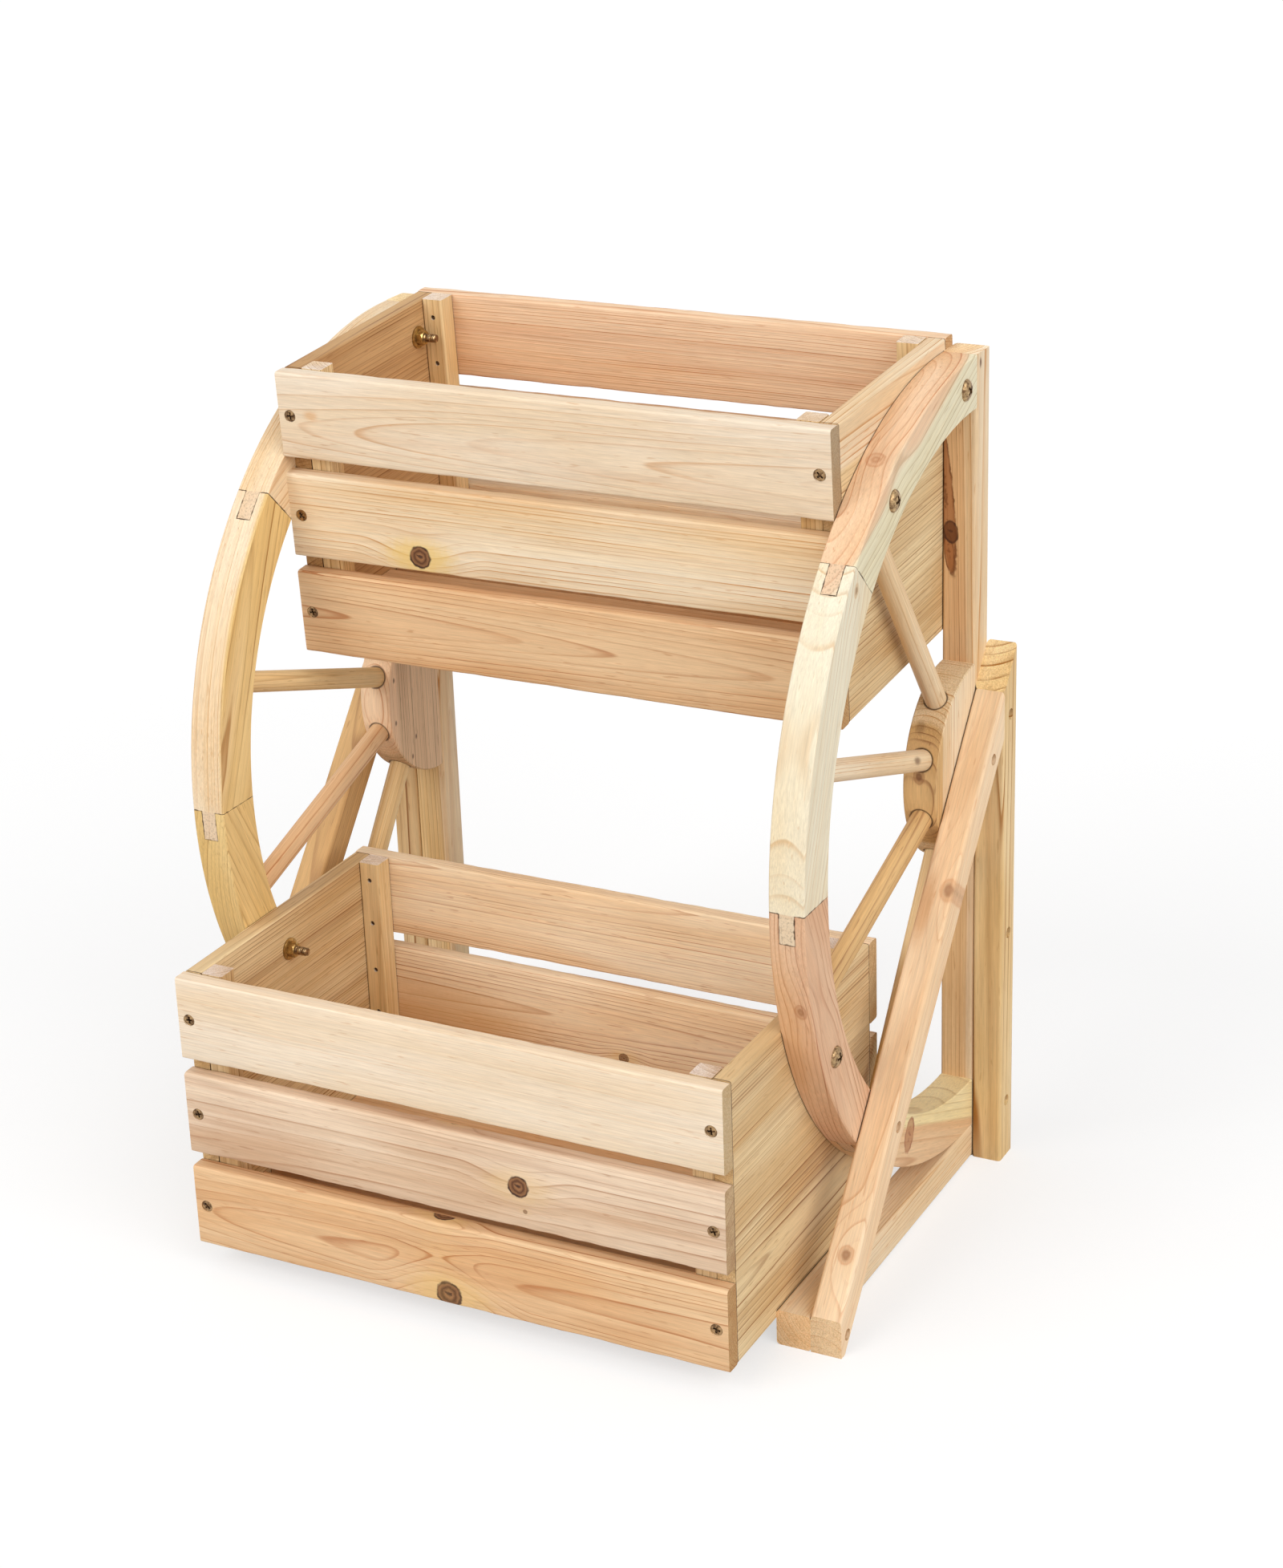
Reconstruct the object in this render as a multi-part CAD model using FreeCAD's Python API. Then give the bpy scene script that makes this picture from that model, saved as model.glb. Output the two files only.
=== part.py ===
import FreeCAD, Part
import math
import os

# Two-tier planter cart. Two half-wheel side frames, mirror images of each other, carry a
# lower and an upper slatted box between them. X runs across the cart, Y from front to back
# and Z up. All sizes are in millimetres, angles in degrees.

# Half wheels
wheel_radius = 287.0
rim_width = 37.0
frame_thickness = 24.5
rim_segments = 4
tenon_length = 21.0
tenon_thickness = 10.5
hub_radius = 70.0
spoke_diameter = 15.0
spoke_step = 36.0
spoke_count = 4
socket_depth = 12.0

# Posts, base rails, rear legs and braces
post_depth = 24.0
rail_height = 26.0
leg_thickness = 22.0
leg_rise = 52.0
brace_depth = 24.0
brace_toe_height = 27.5

# Planter boxes
box_width = 407.0
slats_per_face = 3
slat_height = 60.5
slat_gap = 11.0
slat_thickness = 12.5
side_thickness = 13.0
cleat_size = 16.0
batten_size = 16.0
floor_slats = 4
floor_thickness = 10.0
floor_gap = 7.0
lower_depth = 242.0
lower_lift = 19.0
upper_depth = 202.0
upper_rise = 2.0
upper_lean = 3.7

# Bolts that hold the boxes to the rims
bolt_diameter = 6.0
bolt_head_diameter = 15.0
bolt_head_height = 3.6
bolt_protrusion = 9.0
washer_diameter = 16.0
washer_thickness = 1.6
nut_flats = 10.0
nut_height = 5.0
washer_room = 2.0
lower_bolt_drop = 27.0
lower_bolt_angle = 54.7

# Wood screws and nails
screw_shank = 4.0
screw_head = 8.0
screw_point = 5.0
slat_screw_length = 35.0
slat_screw_sink = 0.5
slat_screw_inset = 8.5
frame_screw_length = 34.0
frame_screw_sink = 6.0
leg_screw_drop = 20.0
leg_screw_heights = (45.0, 179.0)
brace_top_screw_inset = 20.0
brace_toe_screw_inset = 10.0
hub_screw_drops = (0.0, 35.0)
rim_screw_inset = 12.0
nail_diameter = 1.8
nail_head = 3.4
nail_head_height = 0.8
nail_length = 22.0
nail_sink = 1.5
nail_offset = 17.0

# Clearances and eased edges
joint_clearance = 0.1
tenon_clearance = 0.3
shoulder_gap = 0.3
socket_clearance = 0.3
bolt_clearance = 0.25
thread_clearance = 0.1
tip_clearance = 0.5
floor_end_clearance = 0.5
stock_round = 2.5
board_round = 1.5
rim_ease = 0.8

# Places worked out from the sizes. Y = 0 is the front face of the posts.
inner_x = box_width / 2
outer_x = inner_x + frame_thickness
leg_x = outer_x + leg_thickness
middle_x = (inner_x + outer_x) / 2
hub_z = rail_height + wheel_radius
top_z = hub_z + wheel_radius
rim_inner_radius = wheel_radius - rim_width
rim_middle_radius = wheel_radius - rim_width / 2
segment_angle = 180.0 / rim_segments
rail_front_y = -wheel_radius
leg_front_z = hub_z + leg_rise
brace_slope = (leg_front_z - brace_toe_height) / -rail_front_y
brace_drop = brace_depth * math.hypot(1.0, brace_slope)
box_height = slats_per_face * slat_height + (slats_per_face - 1) * slat_gap
board_inner_x = inner_x - side_thickness
floor_top = batten_size + floor_thickness
bolt_bore = bolt_diameter + 2 * bolt_clearance
nut_bore = bolt_diameter + 2 * thread_clearance
bolt_corner = slat_thickness + cleat_size + washer_diameter / 2 + washer_room
lower_back_y = bolt_corner - rim_middle_radius * math.cos(math.radians(lower_bolt_angle))
lower_front_y = lower_back_y - lower_depth
upper_middle = (post_depth - upper_depth / 2, top_z + upper_rise - box_height / 2)
lower_middle = (lower_front_y + lower_depth / 2, lower_lift + box_height / 2)

ACROSS = FreeCAD.Vector(1, 0, 0)
ALONG = FreeCAD.Vector(0, 1, 0)
UP = FreeCAD.Vector(0, 0, 1)
PARALLEL = 1e-6  # sine of the widest angle between two lines that count as parallel


def block(x, y, z):
    """A rectangular block between pairs of lowest and highest coordinates."""
    size = (x[1] - x[0], y[1] - y[0], z[1] - z[0])
    return Part.makeBox(*size, FreeCAD.Vector(x[0], y[0], z[0]))


def eased(solid, radius, direction=None):
    """Rounds all edges of a solid, or only those that run along a direction."""
    edges = solid.Edges
    if direction:
        edges = [e for e in edges if e.tangentAt(e.FirstParameter).cross(direction).Length < PARALLEL]
    return solid.makeFillet(radius, edges)


def prism(points, x):
    """A plate cut to an outline of (y, z) points, standing between two values of X."""
    corners = [FreeCAD.Vector(x[0], y, z) for y, z in points]
    face = Part.Face(Part.makePolygon(corners + corners[:1]))
    return face.extrude(ACROSS * (x[1] - x[0]))


def turned(profile):
    """A body turned about Z from an outline of (radius, z) points."""
    corners = [FreeCAD.Vector(r, 0, z) for r, z in profile]
    face = Part.Face(Part.makePolygon(corners + corners[:1]))
    return face.revolve(FreeCAD.Vector(), UP, 360)


def aimed(solid, point, direction):
    """Puts a body's origin at a point, with its own +Z turned to a direction."""
    placed = solid.copy()
    placed.Placement = FreeCAD.Placement(FreeCAD.Vector(*point), FreeCAD.Rotation(UP, direction))
    return placed


def mirrored(solid):
    """The same piece on the other side of the cart."""
    return solid.mirror(FreeCAD.Vector(), ACROSS)


def without(solid, cutters):
    """The solid with all cutters taken out of it."""
    return solid.cut(cutters) if cutters else solid


def wheel_point(radius, angle, x):
    """A point of the wheel plane; angle 0 looks forward from the hub and 90 up."""
    turn = math.radians(angle)
    return FreeCAD.Vector(x, -radius * math.cos(turn), hub_z + radius * math.sin(turn))


def ring_sector(radii, angles, x):
    """A piece of a flat ring about the hub's centre, between two radii and two angles."""
    middle = sum(angles) / 2
    arcs = []
    for radius, (start, end) in zip(radii, (angles, angles[::-1])):
        points = [wheel_point(radius, angle, x[0]) for angle in (start, middle, end)]
        arcs.append(Part.Arc(*points).toShape())
    ends = []
    for first, second in (arcs, arcs[::-1]):
        ends.append(Part.makeLine(first.Vertexes[-1].Point, second.Vertexes[0].Point))
    outline = Part.Wire([arcs[0], ends[0], arcs[1], ends[1]])
    return Part.Face(outline).extrude(ACROSS * (x[1] - x[0]))


def arc_edges(solid):
    """The edges of a solid that are arcs of a circle."""
    return [e for e in solid.Edges if isinstance(e.Curve, Part.Circle)]


# Fasteners, each made along Z with its head's top at the origin and its point below

def screw(length):
    """A countersunk wood screw with a conical head and a point."""
    cone = (screw_head - screw_shank) / 2
    return turned([(0, 0), (screw_head / 2, 0), (screw_shank / 2, -cone),
                   (screw_shank / 2, screw_point - length), (0, -length)])


def screw_hole(length, sink):
    """The countersunk hole for a screw whose head lies below the surface."""
    head = screw_head / 2 + joint_clearance
    shank = screw_shank / 2 + joint_clearance
    bottom = -length - tip_clearance
    return turned([(0, sink), (head, sink), (head, 0), (shank, shank - head), (shank, bottom), (0, bottom)])


def nail():
    """A plain nail with a flat head."""
    shank = nail_diameter / 2
    return turned([(0, 0), (nail_head / 2, 0), (nail_head / 2, -nail_head_height),
                   (shank, -nail_head_height), (shank, -nail_length), (0, -nail_length)])


def nail_hole():
    """The hole that a sunk nail leaves in the wood."""
    head = nail_head / 2 + joint_clearance
    shank = nail_diameter / 2 + joint_clearance
    bottom = -nail_length - tip_clearance
    return turned([(0, nail_sink), (head, nail_sink), (head, -nail_head_height),
                   (shank, -nail_head_height), (shank, bottom), (0, bottom)])


def bolt():
    """A dome-headed bolt; the head's flat underside is at the origin."""
    grip = frame_thickness + side_thickness + washer_thickness + nut_height + bolt_protrusion
    rim = bolt_head_diameter / 2
    dome_radius = (rim ** 2 + bolt_head_height ** 2) / (2 * bolt_head_height)
    ball = Part.makeSphere(dome_radius, FreeCAD.Vector(0, 0, bolt_head_height - dome_radius))
    head = ball.common(Part.makeCylinder(rim, bolt_head_height))
    return head.fuse(Part.makeCylinder(bolt_diameter / 2, grip, FreeCAD.Vector(), -UP)).removeSplitter()


def washer():
    """A flat washer lying on the plane Z = 0."""
    disc = Part.makeCylinder(washer_diameter / 2, washer_thickness)
    return disc.cut(Part.makeCylinder(bolt_bore / 2, washer_thickness))


def nut():
    """A hexagon nut lying on the plane Z = 0."""
    corner = nut_flats / math.sqrt(3)
    corners = [FreeCAD.Vector(corner, 0, 0)]
    for step in range(1, 6):
        turn = math.radians(60 * step)
        corners.append(FreeCAD.Vector(corner * math.cos(turn), corner * math.sin(turn), 0))
    hexagon = Part.Face(Part.makePolygon(corners + corners[:1])).extrude(UP * nut_height)
    return hexagon.cut(Part.makeCylinder(nut_bore / 2, nut_height))


# Fastener places, for the right-hand side

def upper_bolt_place(depth_offset):
    """Where the rim's middle circle crosses a line square to the upper box's floor.

    The line stands depth_offset behind the box's middle.
    """
    turn = math.radians(upper_lean)
    base_y = upper_middle[0] + depth_offset * math.cos(turn)
    base_z = upper_middle[1] - hub_z + depth_offset * math.sin(turn)
    along = base_z * math.cos(turn) - base_y * math.sin(turn)
    height = math.sqrt(along ** 2 - base_y ** 2 - base_z ** 2 + rim_middle_radius ** 2) - along
    return (base_y - height * math.sin(turn), hub_z + base_z + height * math.cos(turn))


def bolt_places():
    """The (y, z) of the two bolts of each box: a front and a back one."""
    upper_reach = upper_depth / 2 - bolt_corner
    front_z = lower_lift + box_height - lower_bolt_drop
    front_y = -math.sqrt(rim_middle_radius ** 2 - (front_z - hub_z) ** 2)
    back = wheel_point(rim_middle_radius, -lower_bolt_angle, outer_x)
    return {
        "upper": [upper_bolt_place(-upper_reach), upper_bolt_place(upper_reach)],
        "lower": [(front_y, front_z), (back.y, back.z)],
    }


def brace_line(y):
    """Height of the brace's middle line at a given Y."""
    return leg_front_z + brace_slope * y - brace_drop / 2


def brace_rim_crossing():
    """Where the brace's middle line crosses the rim's middle circle, in front of the post."""
    offset = leg_front_z - brace_drop / 2 - hub_z
    a = 1 + brace_slope ** 2
    b = 2 * brace_slope * offset
    c = offset ** 2 - rim_middle_radius ** 2
    y = (-b - math.sqrt(b ** 2 - 4 * a * c)) / (2 * a)
    return (y, brace_line(y))


def frame_screw_places():
    """Head points and outward directions of the screws that hold one side frame together."""
    places = []
    post_middle_y = post_depth / 2
    for z in leg_screw_heights + (leg_front_z - leg_screw_drop,):
        places.append(((leg_x - frame_screw_sink, post_middle_y, z), ACROSS))
    toe_y = rail_front_y + brace_toe_screw_inset
    top_y = -brace_top_screw_inset
    for y, z in ((top_y, brace_line(top_y)), brace_rim_crossing(), (toe_y, rail_height / 2)):
        places.append(((leg_x - frame_screw_sink, y, z), ACROSS))
    heights = [hub_z - drop for drop in hub_screw_drops]
    heights += [top_z - rim_screw_inset, rail_height + rim_screw_inset, rail_height / 2]
    for z in heights:
        places.append(((middle_x, post_depth - frame_screw_sink, z), ALONG))
    return places


# The right side frame

def rim_segment(index, cutters):
    """One arc of the rim, with a tenon at its lower end and a slot for one at its upper end."""
    start = 90.0 - segment_angle * index
    end = start - segment_angle
    shoulder = start - math.degrees(shoulder_gap / rim_middle_radius) if index > 0 else start
    radii = (rim_inner_radius, wheel_radius)
    arc = ring_sector(radii, (shoulder, end), (inner_x, outer_x))
    arc = arc.makeChamfer(rim_ease, arc_edges(arc))
    tenon_angle = math.degrees(tenon_length / wheel_radius)
    slot_angle = tenon_angle + math.degrees(tenon_clearance / rim_inner_radius)
    half_tenon = tenon_thickness / 2
    half_slot = half_tenon + tenon_clearance
    if index < rim_segments - 1:
        across = (middle_x - half_tenon, middle_x + half_tenon)
        arc = arc.fuse(ring_sector(radii, (end, end - tenon_angle), across)).removeSplitter()
    if index > 0:
        wide = (rim_inner_radius - rim_width, wheel_radius + rim_width)
        across = (middle_x - half_slot, middle_x + half_slot)
        arc = arc.cut(ring_sector(wide, (start + slot_angle, start - slot_angle), across))
    return without(arc, cutters)


def spoke_angles():
    """Directions of the spokes, spread evenly about the forward direction."""
    return [spoke_step * ((spoke_count - 1) / 2 - index) for index in range(spoke_count)]


def spoke(angle, grow=0.0):
    """A dowel from the bottom of its hub socket to the bottom of its rim socket."""
    start = wheel_point(hub_radius - socket_depth, angle, middle_x)
    end = wheel_point(rim_inner_radius + socket_depth, angle, middle_x)
    return Part.makeCylinder(spoke_diameter / 2 + grow, (end - start).Length, start, end - start)


def hub(cutters):
    """A half disc on the post's front face."""
    disc = Part.makeCylinder(hub_radius, frame_thickness, FreeCAD.Vector(inner_x, 0, hub_z), ACROSS)
    disc = disc.makeChamfer(rim_ease, arc_edges(disc))
    front = block((inner_x, outer_x), (-hub_radius, 0), (hub_z - hub_radius, hub_z + hub_radius))
    return without(disc.common(front), cutters)


def post(cutters):
    """The upright at the back of the wheel, from the floor to the wheel's top."""
    bar = block((inner_x, outer_x), (0, post_depth), (0, top_z))
    return without(eased(bar, stock_round, UP), cutters)


def base_rail(cutters):
    """The foot under the wheel, from the post to the wheel's front."""
    bar = block((inner_x, outer_x), (rail_front_y, 0), (0, rail_height))
    return without(eased(bar, stock_round, ALONG), cutters)


def rear_leg(cutters):
    """The leg outside the post, its top cut in line with the brace."""
    back_z = leg_front_z + brace_slope * post_depth
    outline = [(0, 0), (post_depth, 0), (post_depth, back_z), (0, leg_front_z)]
    return without(eased(prism(outline, (outer_x, leg_x)), stock_round, UP), cutters)


def brace(cutters):
    """The sloping bar from the leg down to the rail's front end, trimmed plumb and level."""
    spare = post_depth
    low_y = rail_front_y - spare
    low_z = leg_front_z + brace_slope * low_y
    high_z = leg_front_z + brace_slope * spare
    outline = [(low_y, low_z), (spare, high_z), (spare, high_z - brace_drop), (low_y, low_z - brace_drop)]
    slope = FreeCAD.Vector(0, spare - low_y, high_z - low_z).normalize()
    bar = eased(prism(outline, (outer_x, leg_x)), stock_round, slope)
    room = block((outer_x, leg_x), (rail_front_y, 0), (0, leg_front_z))
    return without(bar.common(room), cutters)


def side_frame():
    """All pieces of the right-hand side frame by name, with their sockets and holes."""
    screw_cut = screw_hole(frame_screw_length, frame_screw_sink)
    screw_cuts = [aimed(screw_cut, *place) for place in frame_screw_places()]
    sockets = [spoke(angle, socket_clearance) for angle in spoke_angles()]
    bolt_cuts = []
    for points in bolt_places().values():
        for y, z in points:
            start = FreeCAD.Vector(inner_x, y, z)
            bolt_cuts.append(Part.makeCylinder(bolt_bore / 2, frame_thickness, start, ACROSS))
    pieces = {}
    for index in range(rim_segments):
        pieces[f"rim_segment_{index + 1}"] = rim_segment(index, sockets + bolt_cuts + screw_cuts)
    for index, angle in enumerate(spoke_angles()):
        pieces[f"spoke_{index + 1}"] = spoke(angle)
    pieces["hub"] = hub(sockets + screw_cuts)
    pieces["post"] = post(screw_cuts)
    pieces["base_rail"] = base_rail(screw_cuts)
    pieces["rear_leg"] = rear_leg(screw_cuts)
    pieces["brace"] = brace(screw_cuts)
    return pieces


# The slatted boxes, each made upright with its middle at the origin

def slat_levels():
    """The bottom and top of each slat, from the top slat down."""
    levels = []
    for index in range(slats_per_face):
        top = box_height / 2 - index * (slat_height + slat_gap)
        levels.append((top - slat_height, top))
    return levels


def slat_screw_places(depth):
    """Head points and outward directions of a box's slat screws."""
    places = []
    for bottom, top in slat_levels():
        for side in (-1, 1):
            for face in (-1, 1):
                x = side * (inner_x - slat_screw_inset)
                y = face * (depth / 2 - slat_screw_sink)
                places.append(((x, y, (bottom + top) / 2), ALONG * face))
    return places


def nail_places(depth):
    """Head points and outward directions of the nails through a box's cleats and battens."""
    places = []
    cleat_y = depth / 2 - slat_thickness - cleat_size + nail_sink
    cleat_x = board_inner_x - cleat_size / 2
    batten_x = board_inner_x - batten_size + nail_sink
    for side in (-1, 1):
        for face in (-1, 1):
            for bottom, top in slat_levels():
                for step in (-1, 1):
                    z = (bottom + top) / 2 + step * nail_offset
                    places.append(((side * cleat_x, face * cleat_y, z), ALONG * -face))
            batten_z = (batten_size - box_height) / 2
            places.append(((side * batten_x, face * depth / 4, batten_z), ACROSS * -side))
    return places


def slatted_box(depth):
    """All pieces of one box by name, with holes for its screws and nails."""
    screw_cut = screw_hole(slat_screw_length, slat_screw_sink)
    screw_cuts = [aimed(screw_cut, *place) for place in slat_screw_places(depth)]
    nail_cuts = [aimed(nail_hole(), *place) for place in nail_places(depth)]
    cuts = screw_cuts + nail_cuts
    inner_y = depth / 2 - slat_thickness
    bottom = -box_height / 2
    top = box_height / 2
    pieces = {}
    for index, level in enumerate(slat_levels()):
        for face, name in ((-1, "front"), (1, "back")):
            across = (-inner_x, inner_x)
            along = sorted((face * inner_y, face * depth / 2))
            board = eased(block(across, along, level), board_round)
            pieces[f"{name}_slat_{index + 1}"] = without(board, cuts)
    battens = []
    for side, name in ((-1, "left"), (1, "right")):
        across = sorted((side * board_inner_x, side * inner_x))
        board = eased(block(across, (-inner_y, inner_y), (bottom, top)), board_round, ALONG)
        pieces[f"{name}_side"] = without(board, cuts)
        across = sorted((side * board_inner_x, side * (board_inner_x - batten_size)))
        bar = block(across, (-inner_y, inner_y), (bottom, bottom + batten_size))
        battens.append(without(bar, nail_cuts))
        for face, end in ((-1, "front"), (1, "back")):
            across = sorted((side * board_inner_x, side * (board_inner_x - cleat_size)))
            along = sorted((face * inner_y, face * (inner_y - cleat_size)))
            bar = eased(block(across, along, (bottom + floor_top, top)), board_round, UP)
            pieces[f"{end}_{name}_cleat"] = without(bar, nail_cuts)
    pieces["floor_battens"] = Part.makeCompound(battens)
    pieces["floor_slats"] = Part.makeCompound(floor_boards(inner_y, bottom))
    return pieces


def floor_boards(inner_y, bottom):
    """The boards of a box's floor, lying on its battens with drainage gaps between them."""
    width = (2 * inner_y - (floor_slats + 1) * floor_gap) / floor_slats
    reach = board_inner_x - floor_end_clearance
    boards = []
    for index in range(floor_slats):
        front = -inner_y + floor_gap + index * (width + floor_gap)
        level = (bottom + batten_size, bottom + floor_top)
        boards.append(eased(block((-reach, reach), (front, front + width), level), board_round, ACROSS))
    return boards


def placed_box(solids, middle, lean):
    """Moves pieces of an upright box to its place on the cart, leaning by an angle."""
    spot = FreeCAD.Placement(FreeCAD.Vector(0, *middle), FreeCAD.Rotation(ACROSS, lean))
    moved = []
    for solid in solids:
        copy = solid.copy()
        copy.Placement = spot.multiply(copy.Placement)
        moved.append(copy)
    return moved


def both_sides(solids):
    """The solids of the right-hand side together with their mirror images."""
    return solids + [mirrored(solid) for solid in solids]


def build():
    """All pieces of the cart by node name, in the frame whose Y = 0 is the posts' front face."""
    nodes = {}
    for name, piece in side_frame().items():
        nodes[f"right_{name}"] = piece
        nodes[f"left_{name}"] = mirrored(piece)
    slat_screws = []
    nails = []
    places = bolt_places()
    boxes = (("lower", lower_depth, lower_middle, 0.0), ("upper", upper_depth, upper_middle, upper_lean))
    for tier, depth, middle, lean in boxes:
        bolt_cuts = []
        for y, z in places[tier]:
            start = FreeCAD.Vector(-inner_x, y, z)
            bolt_cuts.append(Part.makeCylinder(bolt_bore / 2, box_width, start, ACROSS))
        pieces = slatted_box(depth)
        for name, piece in zip(pieces, placed_box(pieces.values(), middle, lean)):
            nodes[f"{tier}_{name}"] = piece.cut(bolt_cuts) if name.endswith("_side") else piece
        screws = [aimed(screw(slat_screw_length), *place) for place in slat_screw_places(depth)]
        slat_screws += placed_box(screws, middle, lean)
        nails += placed_box([aimed(nail(), *place) for place in nail_places(depth)], middle, lean)
    bolts = []
    washers = []
    nuts = []
    for y, z in places["lower"] + places["upper"]:
        bolts.append(aimed(bolt(), (outer_x, y, z), ACROSS))
        washers.append(aimed(washer(), (board_inner_x, y, z), -ACROSS))
        nuts.append(aimed(nut(), (board_inner_x - washer_thickness, y, z), -ACROSS))
    frame_screws = [aimed(screw(frame_screw_length), *place) for place in frame_screw_places()]
    nodes["bolts"] = Part.makeCompound(both_sides(bolts))
    nodes["washers"] = Part.makeCompound(both_sides(washers))
    nodes["nuts"] = Part.makeCompound(both_sides(nuts))
    nodes["frame_screws"] = Part.makeCompound(both_sides(frame_screws))
    nodes["slat_screws"] = Part.makeCompound(slat_screws)
    nodes["cleat_nails"] = Part.makeCompound(nails)
    return nodes


def middle_y():
    """Half way from the lower box's front to whatever reaches furthest back."""
    turn = math.radians(upper_lean)
    half_depth = upper_depth / 2 - board_round
    half_height = box_height / 2 - board_round
    lean_back = half_depth * math.cos(turn) + half_height * math.sin(turn) + board_round
    return (lower_front_y + max(post_depth, upper_middle[0] + lean_back)) / 2


os.makedirs("parts", exist_ok=True)
centre = FreeCAD.Vector(0, -middle_y(), 0)
for node, shape in build().items():
    shape.translate(centre)
    shape.exportStep(f"parts/{node}.step")
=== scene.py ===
import math
import random

import bmesh
import bpy
import numpy as np
from mathutils import Matrix, Vector


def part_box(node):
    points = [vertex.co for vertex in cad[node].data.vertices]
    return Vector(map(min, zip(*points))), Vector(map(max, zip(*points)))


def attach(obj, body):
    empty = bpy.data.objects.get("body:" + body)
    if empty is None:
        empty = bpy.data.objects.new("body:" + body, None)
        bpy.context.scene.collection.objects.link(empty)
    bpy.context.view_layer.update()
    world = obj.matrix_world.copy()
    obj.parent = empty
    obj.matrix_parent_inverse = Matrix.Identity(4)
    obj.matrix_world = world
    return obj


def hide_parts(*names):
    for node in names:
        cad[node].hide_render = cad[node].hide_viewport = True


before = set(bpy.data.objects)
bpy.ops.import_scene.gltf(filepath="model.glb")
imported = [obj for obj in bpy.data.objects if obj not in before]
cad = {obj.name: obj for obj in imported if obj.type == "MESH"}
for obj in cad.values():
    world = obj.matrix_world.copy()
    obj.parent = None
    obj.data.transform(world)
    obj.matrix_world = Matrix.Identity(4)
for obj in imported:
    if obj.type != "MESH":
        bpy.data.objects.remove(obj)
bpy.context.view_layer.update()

# Sizes of the cart that the finishes need, in metres, and its angles, as in the part's source
tenon_length = 0.021
tenon_thickness = 0.0105
segment_angle = math.radians(45)
first_segment_angle = math.radians(67.5)
spoke_spacing = math.radians(36)
first_spoke_angle = math.radians(54)
upper_lean = math.radians(3.7)
side_length = {"upper": 0.177, "lower": 0.217}
slat_height = 0.0605
slat_thickness = 0.0125
slat_round = 0.0018
screw_head = 0.008
screw_shank = 0.004
bolt_head = 0.015
bolt_head_height = 0.0036
bolt_shank = 0.006
washer_outside = 0.016
washer_thickness = 0.0016
nut_flats = 0.010
nut_height = 0.005
nail_head = 0.0034
nail_shank = 0.0018
hub_low, hub_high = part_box("right_hub")
hub_y = hub_high.y
hub_z = (hub_low.z + hub_high.z) / 2
frame_middle_x = (hub_low.x + hub_high.x) / 2

# Sizes of details that are only seen, in metres
light_wear = 0.0007
heavy_wear = 0.0011
sink_head = screw_head + 0.0008
sink_shank = screw_shank + 0.0006
screw_slot = {"Slot Width": 0.0013, "Slot Reach": 0.0052, "Slot Depth": 0.0018}
bolt_slot = {"Slot Width": 0.0018, "Slot Reach": 0.0074, "Slot Depth": 0.0024}
bolt_thread = {"Thread Length": 0.022, "Thread Pitch": 0.0011}
washer_bore = 0.0066
washer_ease = 0.0003
nut_bore = 0.0062
nail_head_height = 0.0008
socket_radius = 0.0078

# How narrow a crevice must be to get painted shade, in metres: at seams, in recessed holes and in driver
# slots
seam_reach = 0.0035
hole_reach = 0.007
slot_reach = 0.0015

# Tints of sawn ends, as shares of the wood's own colour
plain_end = (1.0, 0.98, 0.93, 1.0)
slat_end = (0.72, 0.66, 0.53, 1.0)
weathered_end = (0.56, 0.50, 0.42, 1.0)
post_end = (1.28, 1.36, 1.5, 1.0)
cleat_end = (1.15, 1.32, 2.1, 1.0)
leg_end = (1.28, 1.36, 1.42, 1.0)
rail_end = (1.21, 1.07, 0.93, 1.0)

ACROSS = Vector((1, 0, 0))
ALONG = Vector((0, 1, 0))
UP = Vector((0, 0, 1))
WHITE = (1.0, 1.0, 1.0, 1.0)

dice = random.Random(41)


def paint(red, green, blue):
    """A colour given as it looks on a screen, from 0 to 255, as Blender's linear one."""
    shares = []
    for level in (red, green, blue):
        share = level / 255
        shares.append(share / 12.92 if share <= 0.04045 else ((share + 0.055) / 1.055) ** 2.4)
    return (*shares, 1.0)


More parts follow.
